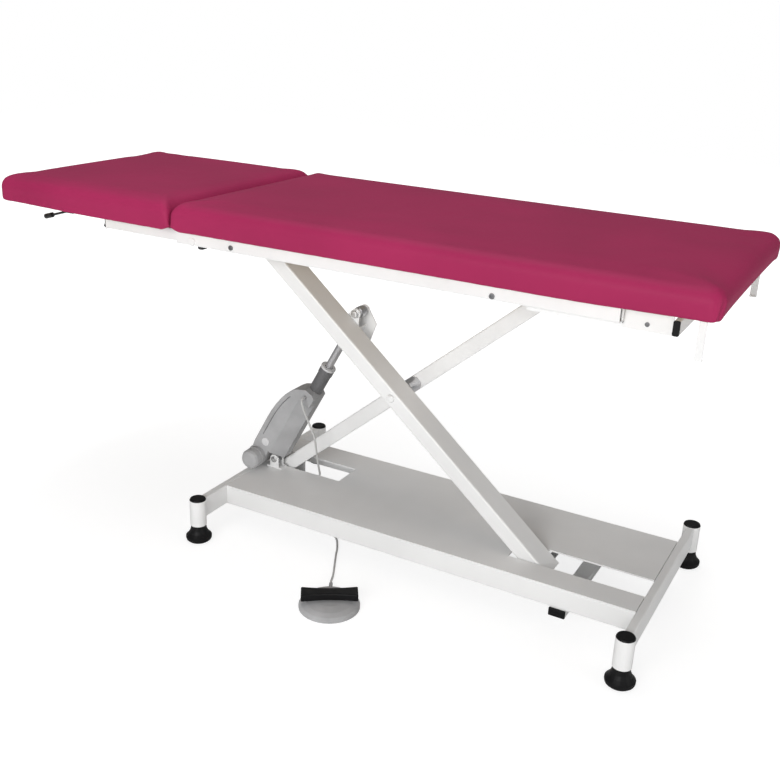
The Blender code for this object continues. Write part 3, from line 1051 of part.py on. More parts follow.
def smooth_route(points, steps):
    # Points of a smooth curve that passes through every point of the route
    ends = [points[0] * 2 - points[1]] + points + [points[-1] * 2 - points[-2]]
    route = []
    for before, start, end, after in zip(ends, ends[1:], ends[2:], ends[3:]):
        for step in range(steps):
            t = step / steps
            route.append(0.5 * (2 * start + (end - before) * t
                                + (2 * before - 5 * start + 4 * end - after) * t ** 2
                                + (3 * start - before - 3 * end + after) * t ** 3))
    return route + [points[-1]]


def make_cable():
    # The ends stop just short of the housing's gland and of the switch's gland
    drive_face = ACTUATOR_Y - HOUSING_NEAR - DRIVE_GLAND_LENGTH - CLEARANCE
    drive_end = along_actuator(DRIVE_GLAND_ALONG, DRIVE_GLAND_OFFSET, drive_face)
    reach = SWITCH_RADIUS + GLAND_LENGTH + CLEARANCE
    switch_end = Vector((SWITCH_X, SWITCH_Y, GLAND_HEIGHT))
    switch_end += reach * Vector((math.cos(GLAND_BEARING), math.sin(GLAND_BEARING), 0))
    drop = [Vector((ACTUATOR_FOOT_X + x, y, z)) for x, y, z in CABLE_DROP]
    points = [drive_end] + drop + [Vector(point) for point in CABLE_FLOOR] + [switch_end]
    route = smooth_route(points, CABLE_STEPS)
    curve = bpy.data.curves.new("switch_cable", "CURVE")
    curve.dimensions = "3D"
    curve.bevel_depth = CABLE_RADIUS
    curve.bevel_resolution = 2
    curve.use_fill_caps = True
    spline = curve.splines.new("POLY")
    spline.points.add(len(route) - 1)
    for point, spot in zip(spline.points, route):
        point.co = (*spot, 1)
    curve.materials.append(CABLE_GREY)
    cable = bpy.data.objects.new("switch_cable", curve)
    COUCH.objects.link(cable)
    place(cable, "base", (0, 0, 0))


def make_couch():
    make_base_plate()
    make_base_frame()
    for end in ENDS:
        for side in SIDES:
            make_corner(end, side)
    make_lower_channels()
    bracket_low, bracket_high = make_rear_arm_bracket()
    make_lift(bracket_low, bracket_high)
    make_bed_frame()
    make_top()
    make_head_frame()
    make_release_lever()
    make_gas_spring()
    make_actuator_bracket()
    make_actuator_tube()
    make_actuator_rod()
    make_rod_bracket()
    make_housing()
    make_foot_switch()
    make_cable()


make_couch()
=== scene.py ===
import json
import math

import bmesh
import bpy
from mathutils import Matrix, Vector


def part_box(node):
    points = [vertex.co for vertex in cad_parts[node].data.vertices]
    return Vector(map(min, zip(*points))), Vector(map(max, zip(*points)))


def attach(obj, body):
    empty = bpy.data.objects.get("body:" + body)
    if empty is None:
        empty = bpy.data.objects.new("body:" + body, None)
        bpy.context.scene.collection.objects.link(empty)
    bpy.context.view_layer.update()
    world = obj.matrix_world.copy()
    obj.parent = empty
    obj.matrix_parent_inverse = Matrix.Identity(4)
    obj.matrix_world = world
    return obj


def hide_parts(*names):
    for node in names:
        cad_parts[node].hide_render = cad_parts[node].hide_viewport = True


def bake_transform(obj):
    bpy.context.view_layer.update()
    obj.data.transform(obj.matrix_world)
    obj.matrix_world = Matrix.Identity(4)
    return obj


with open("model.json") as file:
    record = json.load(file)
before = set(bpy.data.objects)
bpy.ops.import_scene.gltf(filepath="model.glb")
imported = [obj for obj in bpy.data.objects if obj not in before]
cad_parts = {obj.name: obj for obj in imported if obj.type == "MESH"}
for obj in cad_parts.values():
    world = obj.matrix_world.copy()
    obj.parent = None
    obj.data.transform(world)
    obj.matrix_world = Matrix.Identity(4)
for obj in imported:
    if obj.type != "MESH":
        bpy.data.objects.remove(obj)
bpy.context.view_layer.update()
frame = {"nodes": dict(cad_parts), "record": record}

scene = bpy.context.scene
scene.view_settings.view_transform = "Standard"
print("couch frame loaded:", len(frame["nodes"]), "solids")


def dropSelection():
    if bpy.context.object and bpy.context.object.mode != "OBJECT":
        bpy.ops.object.mode_set(mode="OBJECT")
    bpy.ops.object.select_all(action="DESELECT")


def takePiece(piece):
    dropSelection()
    piece.select_set(True)
    bpy.context.view_layer.objects.active = piece


def openMesh(piece):
    takePiece(piece)
    bpy.ops.object.mode_set(mode="EDIT")
    bpy.ops.mesh.select_all(action="DESELECT")


def closeMesh():
    bpy.ops.object.mode_set(mode="OBJECT")


def closeOutward():  # all faces look outward
    bpy.ops.mesh.select_all(action="SELECT")
    bpy.ops.mesh.normals_make_consistent(inside=False)
    closeMesh()


def pickFaces(piece, test):  # faces chosen by a test on centre and normal
    bpy.ops.mesh.select_all(action="DESELECT")
    bpy.ops.mesh.select_mode(type="FACE")
    bm = bmesh.from_edit_mesh(piece.data)
    for face in bm.faces:
        face.select_set(test(face.calc_center_median(), face.normal))
    bmesh.update_edit_mesh(piece.data)


def pickEdges(piece, test):  # edges chosen by a test on both ends
    bpy.ops.mesh.select_all(action="DESELECT")
    bpy.ops.mesh.select_mode(type="EDGE")
    bm = bmesh.from_edit_mesh(piece.data)
    for edge in bm.edges:
        edge.select_set(test(edge.verts[0].co, edge.verts[1].co))
    bmesh.update_edit_mesh(piece.data)


def settle(piece, place=(0, 0, 0), turn=None):  # puts the piece's place into its mesh
    takePiece(piece)
    spot = Matrix.Translation(Vector(place))
    piece.matrix_world = spot @ (turn.to_4x4() if turn else Matrix.Identity(4))
    bpy.ops.object.transform_apply(location=True, rotation=True, scale=True)
    return piece


def dress(piece, finish, body=None):
    piece.data.materials.clear()
    piece.data.materials.append(finish)
    if body:
        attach(piece, body)
    return piece


def facing(direction):  # turns a piece made along +Z to look along a direction
    return Vector((0, 0, 1)).rotation_difference(Vector(direction)).to_matrix()


# camera, set from the photograph
cameraLook = {
    "place": (1.21245, -2.0264, 1.3338), "azimuth": 28.3137, "down": 21.2583, "roll": 2.2493,
    "lens": 46.44, "sensor": 36, "farthest": 60,
}


def setCamera(look):
    az, el, roll = (math.radians(look[key]) for key in ("azimuth", "down", "roll"))
    ahead = Vector((-math.sin(az) * math.cos(el), math.cos(az) * math.cos(el), -math.sin(el)))
    across = Vector((math.cos(az), math.sin(az), 0))
    upward = across.cross(ahead)
    side = across * math.cos(roll) + upward * math.sin(roll)
    top = upward * math.cos(roll) - across * math.sin(roll)
    dropSelection()
    bpy.ops.object.camera_add(location=look["place"])
    camera = bpy.context.object
    camera.name = "photoCamera"
    turn = Matrix((side, top, -ahead)).transposed().to_4x4()
    camera.matrix_world = Matrix.Translation(Vector(look["place"])) @ turn
    camera.data.lens = look["lens"]
    camera.data.sensor_width = look["sensor"]
    camera.data.sensor_fit = "HORIZONTAL"
    camera.data.clip_end = look["farthest"]
    scene.camera = camera


setCamera(cameraLook)
print("camera set")


# finishes, all on object coordinates in metres
def startFinish(name, colour, roughness, metallic=0.0, specular=0.5):
    finish = bpy.data.materials.new(name)
    finish.use_nodes = True
    shader = finish.node_tree.nodes["Principled BSDF"]
    shader.inputs["Base Color"].default_value = (*colour, 1)
    shader.inputs["Roughness"].default_value = roughness
    shader.inputs["Metallic"].default_value = metallic
    shader.inputs["Specular IOR Level"].default_value = specular
    return finish, finish.node_tree, shader


def placeNoise(tree, scale, detail=2.0, stretch=(1, 1, 1)):
    coords = tree.nodes.new("ShaderNodeTexCoord")
    mapping = tree.nodes.new("ShaderNodeMapping")
    mapping.inputs["Scale"].default_value = stretch
    noise = tree.nodes.new("ShaderNodeTexNoise")
    noise.inputs["Scale"].default_value = scale
    noise.inputs["Detail"].default_value = detail
    tree.links.new(coords.outputs["Object"], mapping.inputs["Vector"])
    tree.links.new(mapping.outputs["Vector"], noise.inputs["Vector"])
    return noise


def tintBy(tree, source, shader, dark, light, low=0.35, high=0.65):  # colour drifts between two shades
    ramp = tree.nodes.new("ShaderNodeValToRGB")
    ramp.color_ramp.elements[0].position = low
    ramp.color_ramp.elements[0].color = (*dark, 1)
    ramp.color_ramp.elements[1].position = high
    ramp.color_ramp.elements[1].color = (*light, 1)
    tree.links.new(source, ramp.inputs["Fac"])
    tree.links.new(ramp.outputs["Color"], shader.inputs["Base Color"])


def glossBy(tree, source, shader, low, high):  # roughness drifts between two values
    span = tree.nodes.new("ShaderNodeMapRange")
    span.inputs["To Min"].default_value = low
    span.inputs["To Max"].default_value = high
    tree.links.new(source, span.inputs["Value"])
    tree.links.new(span.outputs["Result"], shader.inputs["Roughness"])


def reliefBy(tree, source, shader, strength, depth):
    bump = tree.nodes.new("ShaderNodeBump")
    bump.inputs["Strength"].default_value = strength
    bump.inputs["Distance"].default_value = depth
    tree.links.new(source, bump.inputs["Height"])
    tree.links.new(bump.outputs["Normal"], shader.inputs["Normal"])
    return bump


def mixShade(colour, factor):
    return tuple(min(max(part * factor, 0), 1) for part in colour)


def sprayedPaint(name, colour, roughness):  # powder coat: orange peel and a faint drift of shade
    finish, tree, shader = startFinish(name, colour, roughness, 0.0, 0.45)
    drift = placeNoise(tree, 5.0, 3.0)
    tintBy(tree, drift.outputs["Fac"], shader, mixShade(colour, 0.965), mixShade(colour, 1.02))
    peel = placeNoise(tree, 420.0, 1.0)
    reliefBy(tree, peel.outputs["Fac"], shader, 0.12, 0.0004)
    glossBy(tree, drift.outputs["Fac"], shader, roughness - 0.05, roughness + 0.08)
    return finish


def mouldedPlastic(name, colour, roughness, grain=900.0, specular=0.4):  # spark-eroded mould texture
    finish, tree, shader = startFinish(name, colour, roughness, 0.0, specular)
    drift = placeNoise(tree, 14.0, 3.0)
    tintBy(tree, drift.outputs["Fac"], shader, mixShade(colour, 0.90), mixShade(colour, 1.10))
    texture = placeNoise(tree, grain, 2.0)
    reliefBy(tree, texture.outputs["Fac"], shader, 0.22, 0.0003)
    glossBy(tree, texture.outputs["Fac"], shader, roughness - 0.08, roughness + 0.10)
    return finish


def satinMetal(name, colour, roughness, metallic=1.0):  # plated or ground metal with a fine mottle
    finish, tree, shader = startFinish(name, colour, roughness, metallic, 0.5)
    mottle = placeNoise(tree, 260.0, 3.0)
    tintBy(tree, mottle.outputs["Fac"], shader, mixShade(colour, 0.86), mixShade(colour, 1.08))
    glossBy(tree, mottle.outputs["Fac"], shader, roughness - 0.08, roughness + 0.12)
    reliefBy(tree, mottle.outputs["Fac"], shader, 0.10, 0.0002)
    return finish


def grainedVinyl(name, colour):  # leather-grain vinyl: cells, creases and slow unevenness
    finish, tree, shader = startFinish(name, colour, 0.55, 0.0, 0.12)
    drift = placeNoise(tree, 3.2, 4.0)
    tintBy(tree, drift.outputs["Fac"], shader, mixShade(colour, 0.93), mixShade(colour, 1.05))
    coords = tree.nodes.new("ShaderNodeTexCoord")
    cells = tree.nodes.new("ShaderNodeTexVoronoi")
    cells.feature = "DISTANCE_TO_EDGE"
    cells.inputs["Scale"].default_value = 520.0
    tree.links.new(coords.outputs["Object"], cells.inputs["Vector"])
    fine = reliefBy(tree, cells.outputs["Distance"], shader, 0.22, 0.0005)
    waves = placeNoise(tree, 16.0, 2.0)
    slow = tree.nodes.new("ShaderNodeBump")
    slow.inputs["Strength"].default_value = 0.20
    slow.inputs["Distance"].default_value = 0.004
    tree.links.new(waves.outputs["Fac"], slow.inputs["Height"])
    tree.links.new(slow.outputs["Normal"], fine.inputs["Normal"])
    glossBy(tree, drift.outputs["Fac"], shader, 0.50, 0.62)
    return finish


def layeredPly(name):  # birch ply: long grain
    finish, tree, shader = startFinish(name, (0.55, 0.40, 0.25), 0.65)
    grain = placeNoise(tree, 40.0, 6.0, (0.08, 1, 1))
    tintBy(tree, grain.outputs["Fac"], shader, (0.42, 0.29, 0.16), (0.62, 0.47, 0.31))
    reliefBy(tree, grain.outputs["Fac"], shader, 0.15, 0.0006)
    glossBy(tree, grain.outputs["Fac"], shader, 0.58, 0.75)
    return finish


finishes = {
    "white_paint": sprayedPaint("whitePowderCoat", (0.84, 0.84, 0.835), 0.38),
    "crimson_vinyl": grainedVinyl("crimsonVinyl", (0.370, 0.0235, 0.095)),
    "plywood": layeredPly("birchPly"),
    "black_plastic": mouldedPlastic("blackPlastic", (0.006, 0.006, 0.0065), 0.45, specular=0.16),
    "grey_plastic": mouldedPlastic("greyPlastic", (0.40, 0.40, 0.405), 0.48, 700.0),
    "dark_tube": satinMetal("darkTube", (0.16, 0.16, 0.165), 0.42, 0.35),
    "black_steel": sprayedPaint("blackSteel", (0.015, 0.015, 0.016), 0.34),
    "bright_steel": satinMetal("brightSteel", (0.62, 0.62, 0.63), 0.32),
    "cable_sheath": mouldedPlastic("cableSheath", (0.52, 0.52, 0.51), 0.5, 1500.0),
}
extraFinishes = {
    # dark grey for the bead on the housing's parting line: painted shade, not the plastic's own colour
    "shadowGrey": mouldedPlastic("shadowGreyPlastic", (0.20, 0.20, 0.205), 0.5, 700.0),
    "paleGrey": mouldedPlastic("paleGreyPlastic", (0.62, 0.62, 0.625), 0.45, 700.0),
    "zinc": satinMetal("zincPlate", (0.66, 0.66, 0.66), 0.34),
    "darkZinc": satinMetal("darkZinc", (0.20, 0.20, 0.205), 0.40, 0.8),
    "treadRubber": mouldedPlastic("treadRubber", (0.020, 0.020, 0.021), 0.62, 500.0),
}
for entry in frame["record"]["subparts"]:
    frame["nodes"][entry["node"]].data.materials[0] = finishes[entry["material_slot"]]
print("finishes on the solids")

# the foot switch's cable: the same route as the solid, in metres
switchCable = {
    "radius": 0.00275,
    "steps": 4,
    "hangsFrom": 0.12,
    "heldAbove": 0.335,
    "route": [
        (-0.1365, 0.0050, 0.3580), (-0.1365, -0.0012, 0.3565), (-0.1340, -0.0062, 0.3470),
        (-0.1275, -0.0064, 0.3300), (-0.1175, -0.0042, 0.3050), (-0.1095, 0.0008, 0.2800),
        (-0.1035, 0.0078, 0.2550), (-0.1030, 0.0168, 0.2150), (-0.1055, 0.0288, 0.1750),
        (-0.1125, 0.0468, 0.1420), (-0.1215, 0.0648, 0.1200), (-0.1290, 0.0713, 0.1000),
        (-0.1325, 0.0668, 0.0700), (-0.1225, 0.0508, 0.0350), (-0.1025, 0.0258, 0.0100),
        (-0.0675, 0.0008, 0.0035), (-0.0350, -0.0192, 0.0030), (-0.0043, -0.0347, 0.0030),
        (0.0242, -0.0755, 0.0030), (0.0409, -0.1089, 0.0030), (0.0839, -0.1895, 0.0040),
        (0.0979, -0.2216, 0.0058), (0.1038, -0.2320, 0.0065),
    ],
}


def smoothRoute(points, steps):  # a curve through every point
    ends = [points[0] * 2 - points[1]] + points + [points[-1] * 2 - points[-2]]
    route = []
    for before, start, end, after in zip(ends, ends[1:], ends[2:], ends[3:]):
        for step in range(steps):
            t = step / steps
            route.append(0.5 * (2 * start + (end - before) * t
                                + (2 * before - 5 * start + 4 * end - after) * t ** 2
                                + (3 * start - before - 3 * end + after) * t ** 3))
    return route + [points[-1]]


def sweepTube(name, route, radius):  # a round tube along a route
    line = bpy.data.curves.new(name, "CURVE")
    line.dimensions = "3D"
    line.bevel_depth = radius
    line.bevel_resolution = 3
    line.use_fill_caps = True
    spline = line.splines.new("POLY")
    spline.points.add(len(route) - 1)
    for point, spot in zip(spline.points, route):
        point.co = (*spot, 1)
    tube = bpy.data.objects.new(name, line)
    scene.collection.objects.link(tube)
    takePiece(tube)
    bpy.ops.object.convert(target="MESH")
    bpy.ops.object.shade_smooth_by_angle(angle=math.radians(60))
    return bpy.context.object


def layCable(spec):
    route = smoothRoute([Vector(point) for point in spec["route"]], spec["steps"])
    cable = sweepTube("switchCable", route, spec["radius"])
    dress(cable, finishes["cable_sheath"])
    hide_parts("switch_cable")
    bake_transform(cable)


layCable(switchCable)


# cushions: blown up by a short cloth simulation, then drawn in and tucked at the corners
bodyPad = {"nodes": ["body_cushion"], "voxel": 0.0090, "joint": -1}
headPad = {"nodes": ["head_cushion", "head_cushion_fold"], "voxel": 0.0075, "joint": 1}
padShape = {
    "shrink": 0.0030, "corner": 0.031, "jointCorner": 0.014, "topRound": 0.027,
    "pressure": 4.0, "frames": 20, "cap": 0.005, "heldBelow": 0.006, "easeSteps": 8,
    "board": 0.0040, "meet": 0.0015, "outer": 0.0130, "drawIn": 0.0024,
    "hang": 0.0078, "hangWidth": 0.014, "hangShare": 0.55, "endHang": 0.25, "endRun": 0.32,
    "under": 0.0085, "underEnd": 0.0085, "underJoint": 0.0160, "underReach": 0.030, "lowShare": 0.6,
    "ear": 0.60, "earReach": 0.050, "pucker": 0.0008, "puckerPitch": 0.041,
    "tuckDepth": 0.0045, "tuckWidth": 0.0080, "tuckPlace": 0.020, "tuckReach": 0.020, "tuckTop": 0.80,
    "roll": 0.009, "rollRun": 0.040,
}
padCloth = {
    "quality": 4, "mass": 0.4, "tension_stiffness": 20, "compression_stiffness": 20,
    "shear_stiffness": 10, "bending_stiffness": 2,
}


def nodeSpan(nodes):
    corners = [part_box(node) for node in nodes]
    low = Vector([min(corner[0][axis] for corner in corners) for axis in range(3)])
    high = Vector([max(corner[1][axis] for corner in corners) for axis in range(3)])
    return low, high


def blowUp(pad, low, shape):
    start = [vert.co.copy() for vert in pad.data.vertices]
    held = pad.vertex_groups.new(name="heldOnBoard")
    held.add([i for i, spot in enumerate(start) if spot.z < low.z + shape["heldBelow"]], 1.0, "REPLACE")
    cloth = pad.modifiers.new("foam", "CLOTH")
    for setting, value in padCloth.items():
        setattr(cloth.settings, setting, value)
    cloth.settings.use_pressure = True
    cloth.settings.uniform_pressure_force = shape["pressure"]
    cloth.settings.effector_weights.gravity = 0
    cloth.settings.vertex_group_mass = "heldOnBoard"
    cloth.collision_settings.use_collision = False
    cloth.point_cache.frame_start = 1
    cloth.point_cache.frame_end = shape["frames"]
    for step in range(1, shape["frames"] + 1):
        scene.frame_set(step)
    takePiece(pad)
    bpy.ops.object.modifier_apply(modifier="foam")
    scene.frame_set(1)
    moved = 0.0
    for vert, spot in zip(pad.data.vertices, start):
        shift = vert.co - spot
        moved = max(moved, shift.length)
        if shift.length > shape["cap"]:
            vert.co = spot + shift * (shape["cap"] / shift.length)
    pad.vertex_groups.clear()
    print("foam pressed out by", round(moved * 1000, 1), "mm before the cap")


def bump01(distance, width):  # a smooth 1 to 0 step
    t = min(max(distance / width, 0), 1)
    return 1 - t * t * (3 - 2 * t)


def fitPad(pad, low, high):  # the swollen form fills the room the cushion has
    spots = [vert.co for vert in pad.data.vertices]
    least = Vector([min(spot[axis] for spot in spots) for axis in range(3)])
    most = Vector([max(spot[axis] for spot in spots) for axis in range(3)])
    for spot in spots:
        for axis in range(3):
            share = (spot[axis] - least[axis]) / (most[axis] - least[axis])
            spot[axis] = low[axis] + share * (high[axis] - low[axis])


def shapePad(pad, low, high, joint, shape):
    middle = (low + high) / 2
    half = (high - low) / 2
    for vert in pad.data.vertices:
        spot = vert.co - middle
        along, over = spot.x / half.x, spot.y / half.y
        level = (spot.z + half.z) / (2 * half.z)
        edge = half.y - abs(spot.y)
        meeting = half.x - joint * spot.x
        spot.x -= math.copysign(shape["drawIn"], spot.x) * max(1 - over ** 2, 0) * abs(along) ** 6
        spot.y -= math.copysign(shape["drawIn"], spot.y) * max(1 - along ** 2, 0) * abs(over) ** 6
        face = half.x + joint * spot.x
        reach = shape["underReach"]
        low01 = max(1 - level / shape["lowShare"], 0) ** 1.6
        away = 1 - bump01(meeting, reach)
        below = bump01(level, shape["hangShare"]) * bump01(edge, shape["hangWidth"]) * away
        taper = 1 - (1 - shape["endHang"]) * bump01(face, shape["endRun"])
        spot.z -= shape["hang"] * below * taper  # the cover hangs past the board along both sides
        turn = math.tau * spot.x / shape["puckerPitch"]
        wave = 1 + (math.sin(turn) + math.sin(0.37 * turn + 1.3)) / 2
        ear = bump01(min(face, meeting), shape["earReach"]) * bump01(edge, shape["earReach"])
        inward = shape["under"] * low01 * bump01(edge, reach) + shape["pucker"] * wave * below
        spot.y -= math.copysign(inward * (1 - shape["ear"] * ear), spot.y)  # turns under, puckered
        inward = shape["underEnd"] * low01 * bump01(face, reach)
        spot.x += joint * inward * (1 - shape["ear"] * ear)
        inside = 1 - bump01(edge, shape["earReach"])
        relief = shape["underJoint"] * low01 * bump01(meeting, reach) * inside
        spot.x -= joint * relief  # clears the head's arms
        spot.z -= shape["roll"] * bump01(meeting, shape["rollRun"]) ** 2 * level ** 2  # rolls into the joint
        if face < shape["tuckReach"] and level < shape["tuckTop"]:  # a folded tuck beside each end corner
            fold = bump01(abs(edge - shape["tuckPlace"] * (0.5 + 0.7 * level)), shape["tuckWidth"])
            fade = bump01(level - shape["tuckTop"] / 2, shape["tuckTop"] / 2)
            spot.x += joint * shape["tuckDepth"] * fold * bump01(face, shape["tuckReach"]) * fade
        vert.co = spot + middle


def makePad(name, spec, shape):
    low, high = nodeSpan(spec["nodes"])
    low = low + Vector((0, 0, shape["board"]))
    near, outer = (low, high) if spec["joint"] < 0 else (high, low)
    near.x += spec["joint"] * shape["meet"]  # the two cushions press together at the joint
    outer.x -= spec["joint"] * shape["outer"]
    size = high - low - Vector((2, 2, 1)) * shape["shrink"]
    dropSelection()
    bpy.ops.mesh.primitive_cube_add(size=1, location=(low + high) / 2 - Vector((0, 0, shape["shrink"] / 2)))
    pad = bpy.context.object
    pad.name = name
    pad.scale = size
    bpy.ops.object.transform_apply(location=True, rotation=True, scale=True)
    top = high.z - shape["shrink"]
    openMesh(pad)
    middle = (low.x + high.x) / 2
    for side, radius in ((-1, shape["corner"]), (1, shape["jointCorner"])):
        pickEdges(pad, lambda a, b: abs(a.z - b.z) > 0.01 and (a.x - middle) * side * spec["joint"] > 0.1)
        bpy.ops.mesh.bevel(offset=radius, segments=5, affect="EDGES")
    pickEdges(pad, lambda a, b: min(a.z, b.z) > top - 0.001)
    bpy.ops.mesh.bevel(offset=shape["topRound"], segments=6, affect="EDGES")
    closeMesh()
    pad.data.remesh_voxel_size = spec["voxel"]
    pad.data.use_remesh_fix_poles = True
    bpy.ops.object.voxel_remesh()
    blowUp(pad, low, shape)
    takePiece(pad)
    ease = pad.modifiers.new("ease", "SMOOTH")
    ease.factor = 0.5
    ease.iterations = shape["easeSteps"]
    bpy.ops.object.modifier_apply(modifier="ease")
    finer = pad.modifiers.new("finer", "SUBSURF")
    finer.levels = 1
    finer.render_levels = 1
    bpy.ops.object.modifier_apply(modifier="finer")
    fitPad(pad, low, high)
    shapePad(pad, low, high, spec["joint"], shape)
    bpy.ops.object.shade_smooth()
    dress(pad, finishes["crimson_vinyl"])
    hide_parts(*spec["nodes"])
    print(name, "made:", len(pad.data.polygons), "faces")
    return pad


bodyCushion = makePad("bodyCushion", bodyPad, padShape)
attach(bodyCushion, "bed")
headCushion = makePad("headCushion", headPad, padShape)
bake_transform(headCushion)


# fasteners: each is turned from a cylinder, looking along +Z, then set on its face
centreLine = 0.0608  # the couch's middle in y
edgeAngle = math.radians(35)  # sharper edges stay sharp
washerShape = {"step": 0.0004, "depth": 0.0016}


def makeScrew(name, spec, place, direction, finish, body):
    dropSelection()
    sides = spec.get("sides", 24)
    bpy.ops.mesh.primitive_cylinder_add(vertices=sides, radius=spec["radius"], depth=spec["height"],
                                        location=(0, 0, spec["height"] / 2))
    screw = bpy.context.object
    screw.name = name
    bpy.ops.object.transform_apply(location=True, rotation=True, scale=True)
    openMesh(screw)
    pickEdges(screw, lambda a, b: min(a.z, b.z) > spec["height"] * 0.9)
    bpy.ops.mesh.bevel(offset=spec["radius"] * spec.get("dome", 0.14), segments=4, affect="EDGES")
    if spec.get("socket"):
        pickFaces(screw, lambda c, n: n.z > 0.99 and c.z > spec["height"] * 0.9)
        bpy.ops.mesh.inset(thickness=spec["radius"] * 0.86 - spec["socket"], depth=0)
        bpy.ops.mesh.extrude_region_move(TRANSFORM_OT_translate={"value": (0, 0, -spec["height"] * 0.55)})
    if spec.get("washer"):
        pickFaces(screw, lambda c, n: n.z < -0.99)
        bpy.ops.mesh.extrude_region_move(TRANSFORM_OT_translate={"value": (0, 0, -washerShape["step"])})
        bpy.ops.transform.resize(value=(spec["washer"] / spec["radius"],) * 2 + (1,))
        bpy.ops.mesh.extrude_region_move(TRANSFORM_OT_translate={"value": (0, 0, -washerShape["depth"])})
    closeOutward()
    settle(screw, (0, 0, sum(washerShape.values()) if spec.get("washer") else 0))
    settle(screw, place, facing(direction))
    bpy.ops.object.shade_smooth_by_angle(angle=edgeAngle)
    return dress(screw, finish, body)


def mirrorPlace(place):  # the same spot on the far side
    return (place[0], 2 * centreLine - place[1], place[2])


railScrew = {
    "radius": 0.0062, "height": 0.0022, "socket": 0.0030,
    "places": [(-0.1965, -0.2092, 0.7871), (0.4575, -0.2092, 0.784)],
}
channelScrew = {"radius": 0.0047, "height": 0.0020, "socket": 0.0027, "places": [(0.7699, -0.1889, 0.7773)]}
hingeCap = {"radius": 0.0100, "height": 0.0028, "places": [(-0.3106, -0.2092, 0.7853)]}
for label, spec, finish, slotName in (
        ("railScrew", railScrew, extraFinishes["darkZinc"], "bright_steel"),
        ("channelScrew", channelScrew, extraFinishes["darkZinc"], "bright_steel"),
        ("hingeCap", hingeCap, finishes["white_paint"], "white_paint")):
    for count, place in enumerate(spec["places"]):
        makeScrew(f"{label}Near{count}", spec, place, (0, -1, 0), finish, "bed")
        makeScrew(f"{label}Far{count}", spec, mirrorPlace(place), (0, 1, 0), finish, "bed")

pivotBolt = {"node": "scissor_shaft", "body": "rear_arm", "radius": 0.0100, "height": 0.0058, "dome": 0.45}
rodBolt = {
    "node": "rod_bracket", "body": "front_arm", "pin": (0.00085, 0.6061),
    "radius": 0.0092, "height": 0.0070, "sides": 6, "washer": 0.0122,
}
footPin = {
    "node": "actuator_bracket", "body": "base", "pin": (-0.25355, 0.140),
    "radius": 0.0085, "height": 0.0035, "socket": 0.0035,
}
for label, spec, finish, slotName in (
        ("pivotBolt", pivotBolt, finishes["white_paint"], "white_paint"),
        ("rodBolt", rodBolt, extraFinishes["zinc"], "bright_steel"),
        ("footPin", footPin, extraFinishes["zinc"], "bright_steel")):
    low, high = nodeSpan([spec["node"]])
    x, z = spec.get("pin", ((low + high) / 2).xz)
    makeScrew(label + "Near", spec, (x, low.y, z), (0, -1, 0), finish, spec["body"])
    makeScrew(label + "Far", spec, (x, high.y, z), (0, 1, 0), finish, spec["body"])
print("fasteners set")


# moulded plugs and stops
def makePlug(name, spec, place, direction, spin, finish, body):
    dropSelection()
    bpy.ops.mesh.primitive_cube_add(size=1, location=(0, 0, 0))
    plug = bpy.context.object
    plug.name = name
    plug.scale = (spec["width"], spec["height"], spec["thickness"])
    bpy.ops.object.transform_apply(location=True, rotation=True, scale=True)
    half = spec["thickness"] / 2
    openMesh(plug)
    pickEdges(plug, lambda a, b: abs(a.z - b.z) > half)
    bpy.ops.mesh.bevel(offset=spec["corner"], segments=3, affect="EDGES")
    pickEdges(plug, lambda a, b: min(a.z, b.z) > half * 0.9)
    bpy.ops.mesh.bevel(offset=spec["thickness"] * 0.35, segments=2, affect="EDGES")
    if spec.get("dish"):
        pickFaces(plug, lambda c, n: n.z > 0.99 and c.z > half * 0.9)
        bpy.ops.mesh.inset(thickness=spec["dish"], depth=0)
        bpy.ops.mesh.inset(thickness=spec["thickness"] * 0.25, depth=-spec["thickness"] * 0.3)
    closeOutward()
    settle(plug, (0, 0, half), Matrix.Rotation(spin, 3, "Z"))
    settle(plug, place, facing(direction))
    bpy.ops.object.shade_smooth_by_angle(angle=edgeAngle)
    return dress(plug, finish, body)


crossPlug = {"width": 0.0396, "height": 0.0196, "thickness": 0.005, "corner": 0.0022}
tubeLow, tubeHigh = nodeSpan(["base_cross_tube"])
tubeSpot = (tubeLow + tubeHigh) / 2
for side, y, outward in (("Near", tubeLow.y, -1), ("Far", tubeHigh.y, 1)):
    makePlug("crossPlug" + side, crossPlug, (tubeSpot.x, y, tubeSpot.z), (0, outward, 0), 0,
             finishes["black_plastic"], "base")

armPlug = {"width": 0.0192, "height": 0.0392, "thickness": 0.0035, "corner": 0.002, "dish": 0.003}
frameLow, frameHigh = nodeSpan(["head_frame"])
railLow, railHigh = nodeSpan(["bed_rail_near"])
halfWide, halfTall = 0.010, 0.020  # the bed's tubes are 20 x 40 mm
armSpots = {"Near": frameLow.y + halfWide, "Far": frameHigh.y - halfWide}
for side, y in armSpots.items():
    makePlug("headArmPlug" + side, armPlug, (frameLow.x, y, railLow.z + halfTall), (-1, 0, 0),
             math.radians(90), finishes["black_plastic"], "head")
railSpots = {"Near": (railLow.y + railHigh.y) / 2, "Far": 2 * centreLine - (railLow.y + railHigh.y) / 2}
for side, y in railSpots.items():
    makePlug("railPlugFoot" + side, armPlug, (railHigh.x, y, railLow.z + halfTall), (1, 0, 0),
             math.radians(90), finishes["white_paint"], "bed")

stopPad = {"width": 0.032, "height": 0.016, "thickness": 0.0075, "corner": 0.006}
for side, y in railSpots.items():
    makePlug("rubberStop" + side, stopPad, (-0.2913, y, railLow.z), (0, 0, -1), 0,
             extraFinishes["treadRubber"], "bed")
print("plugs and stops set")
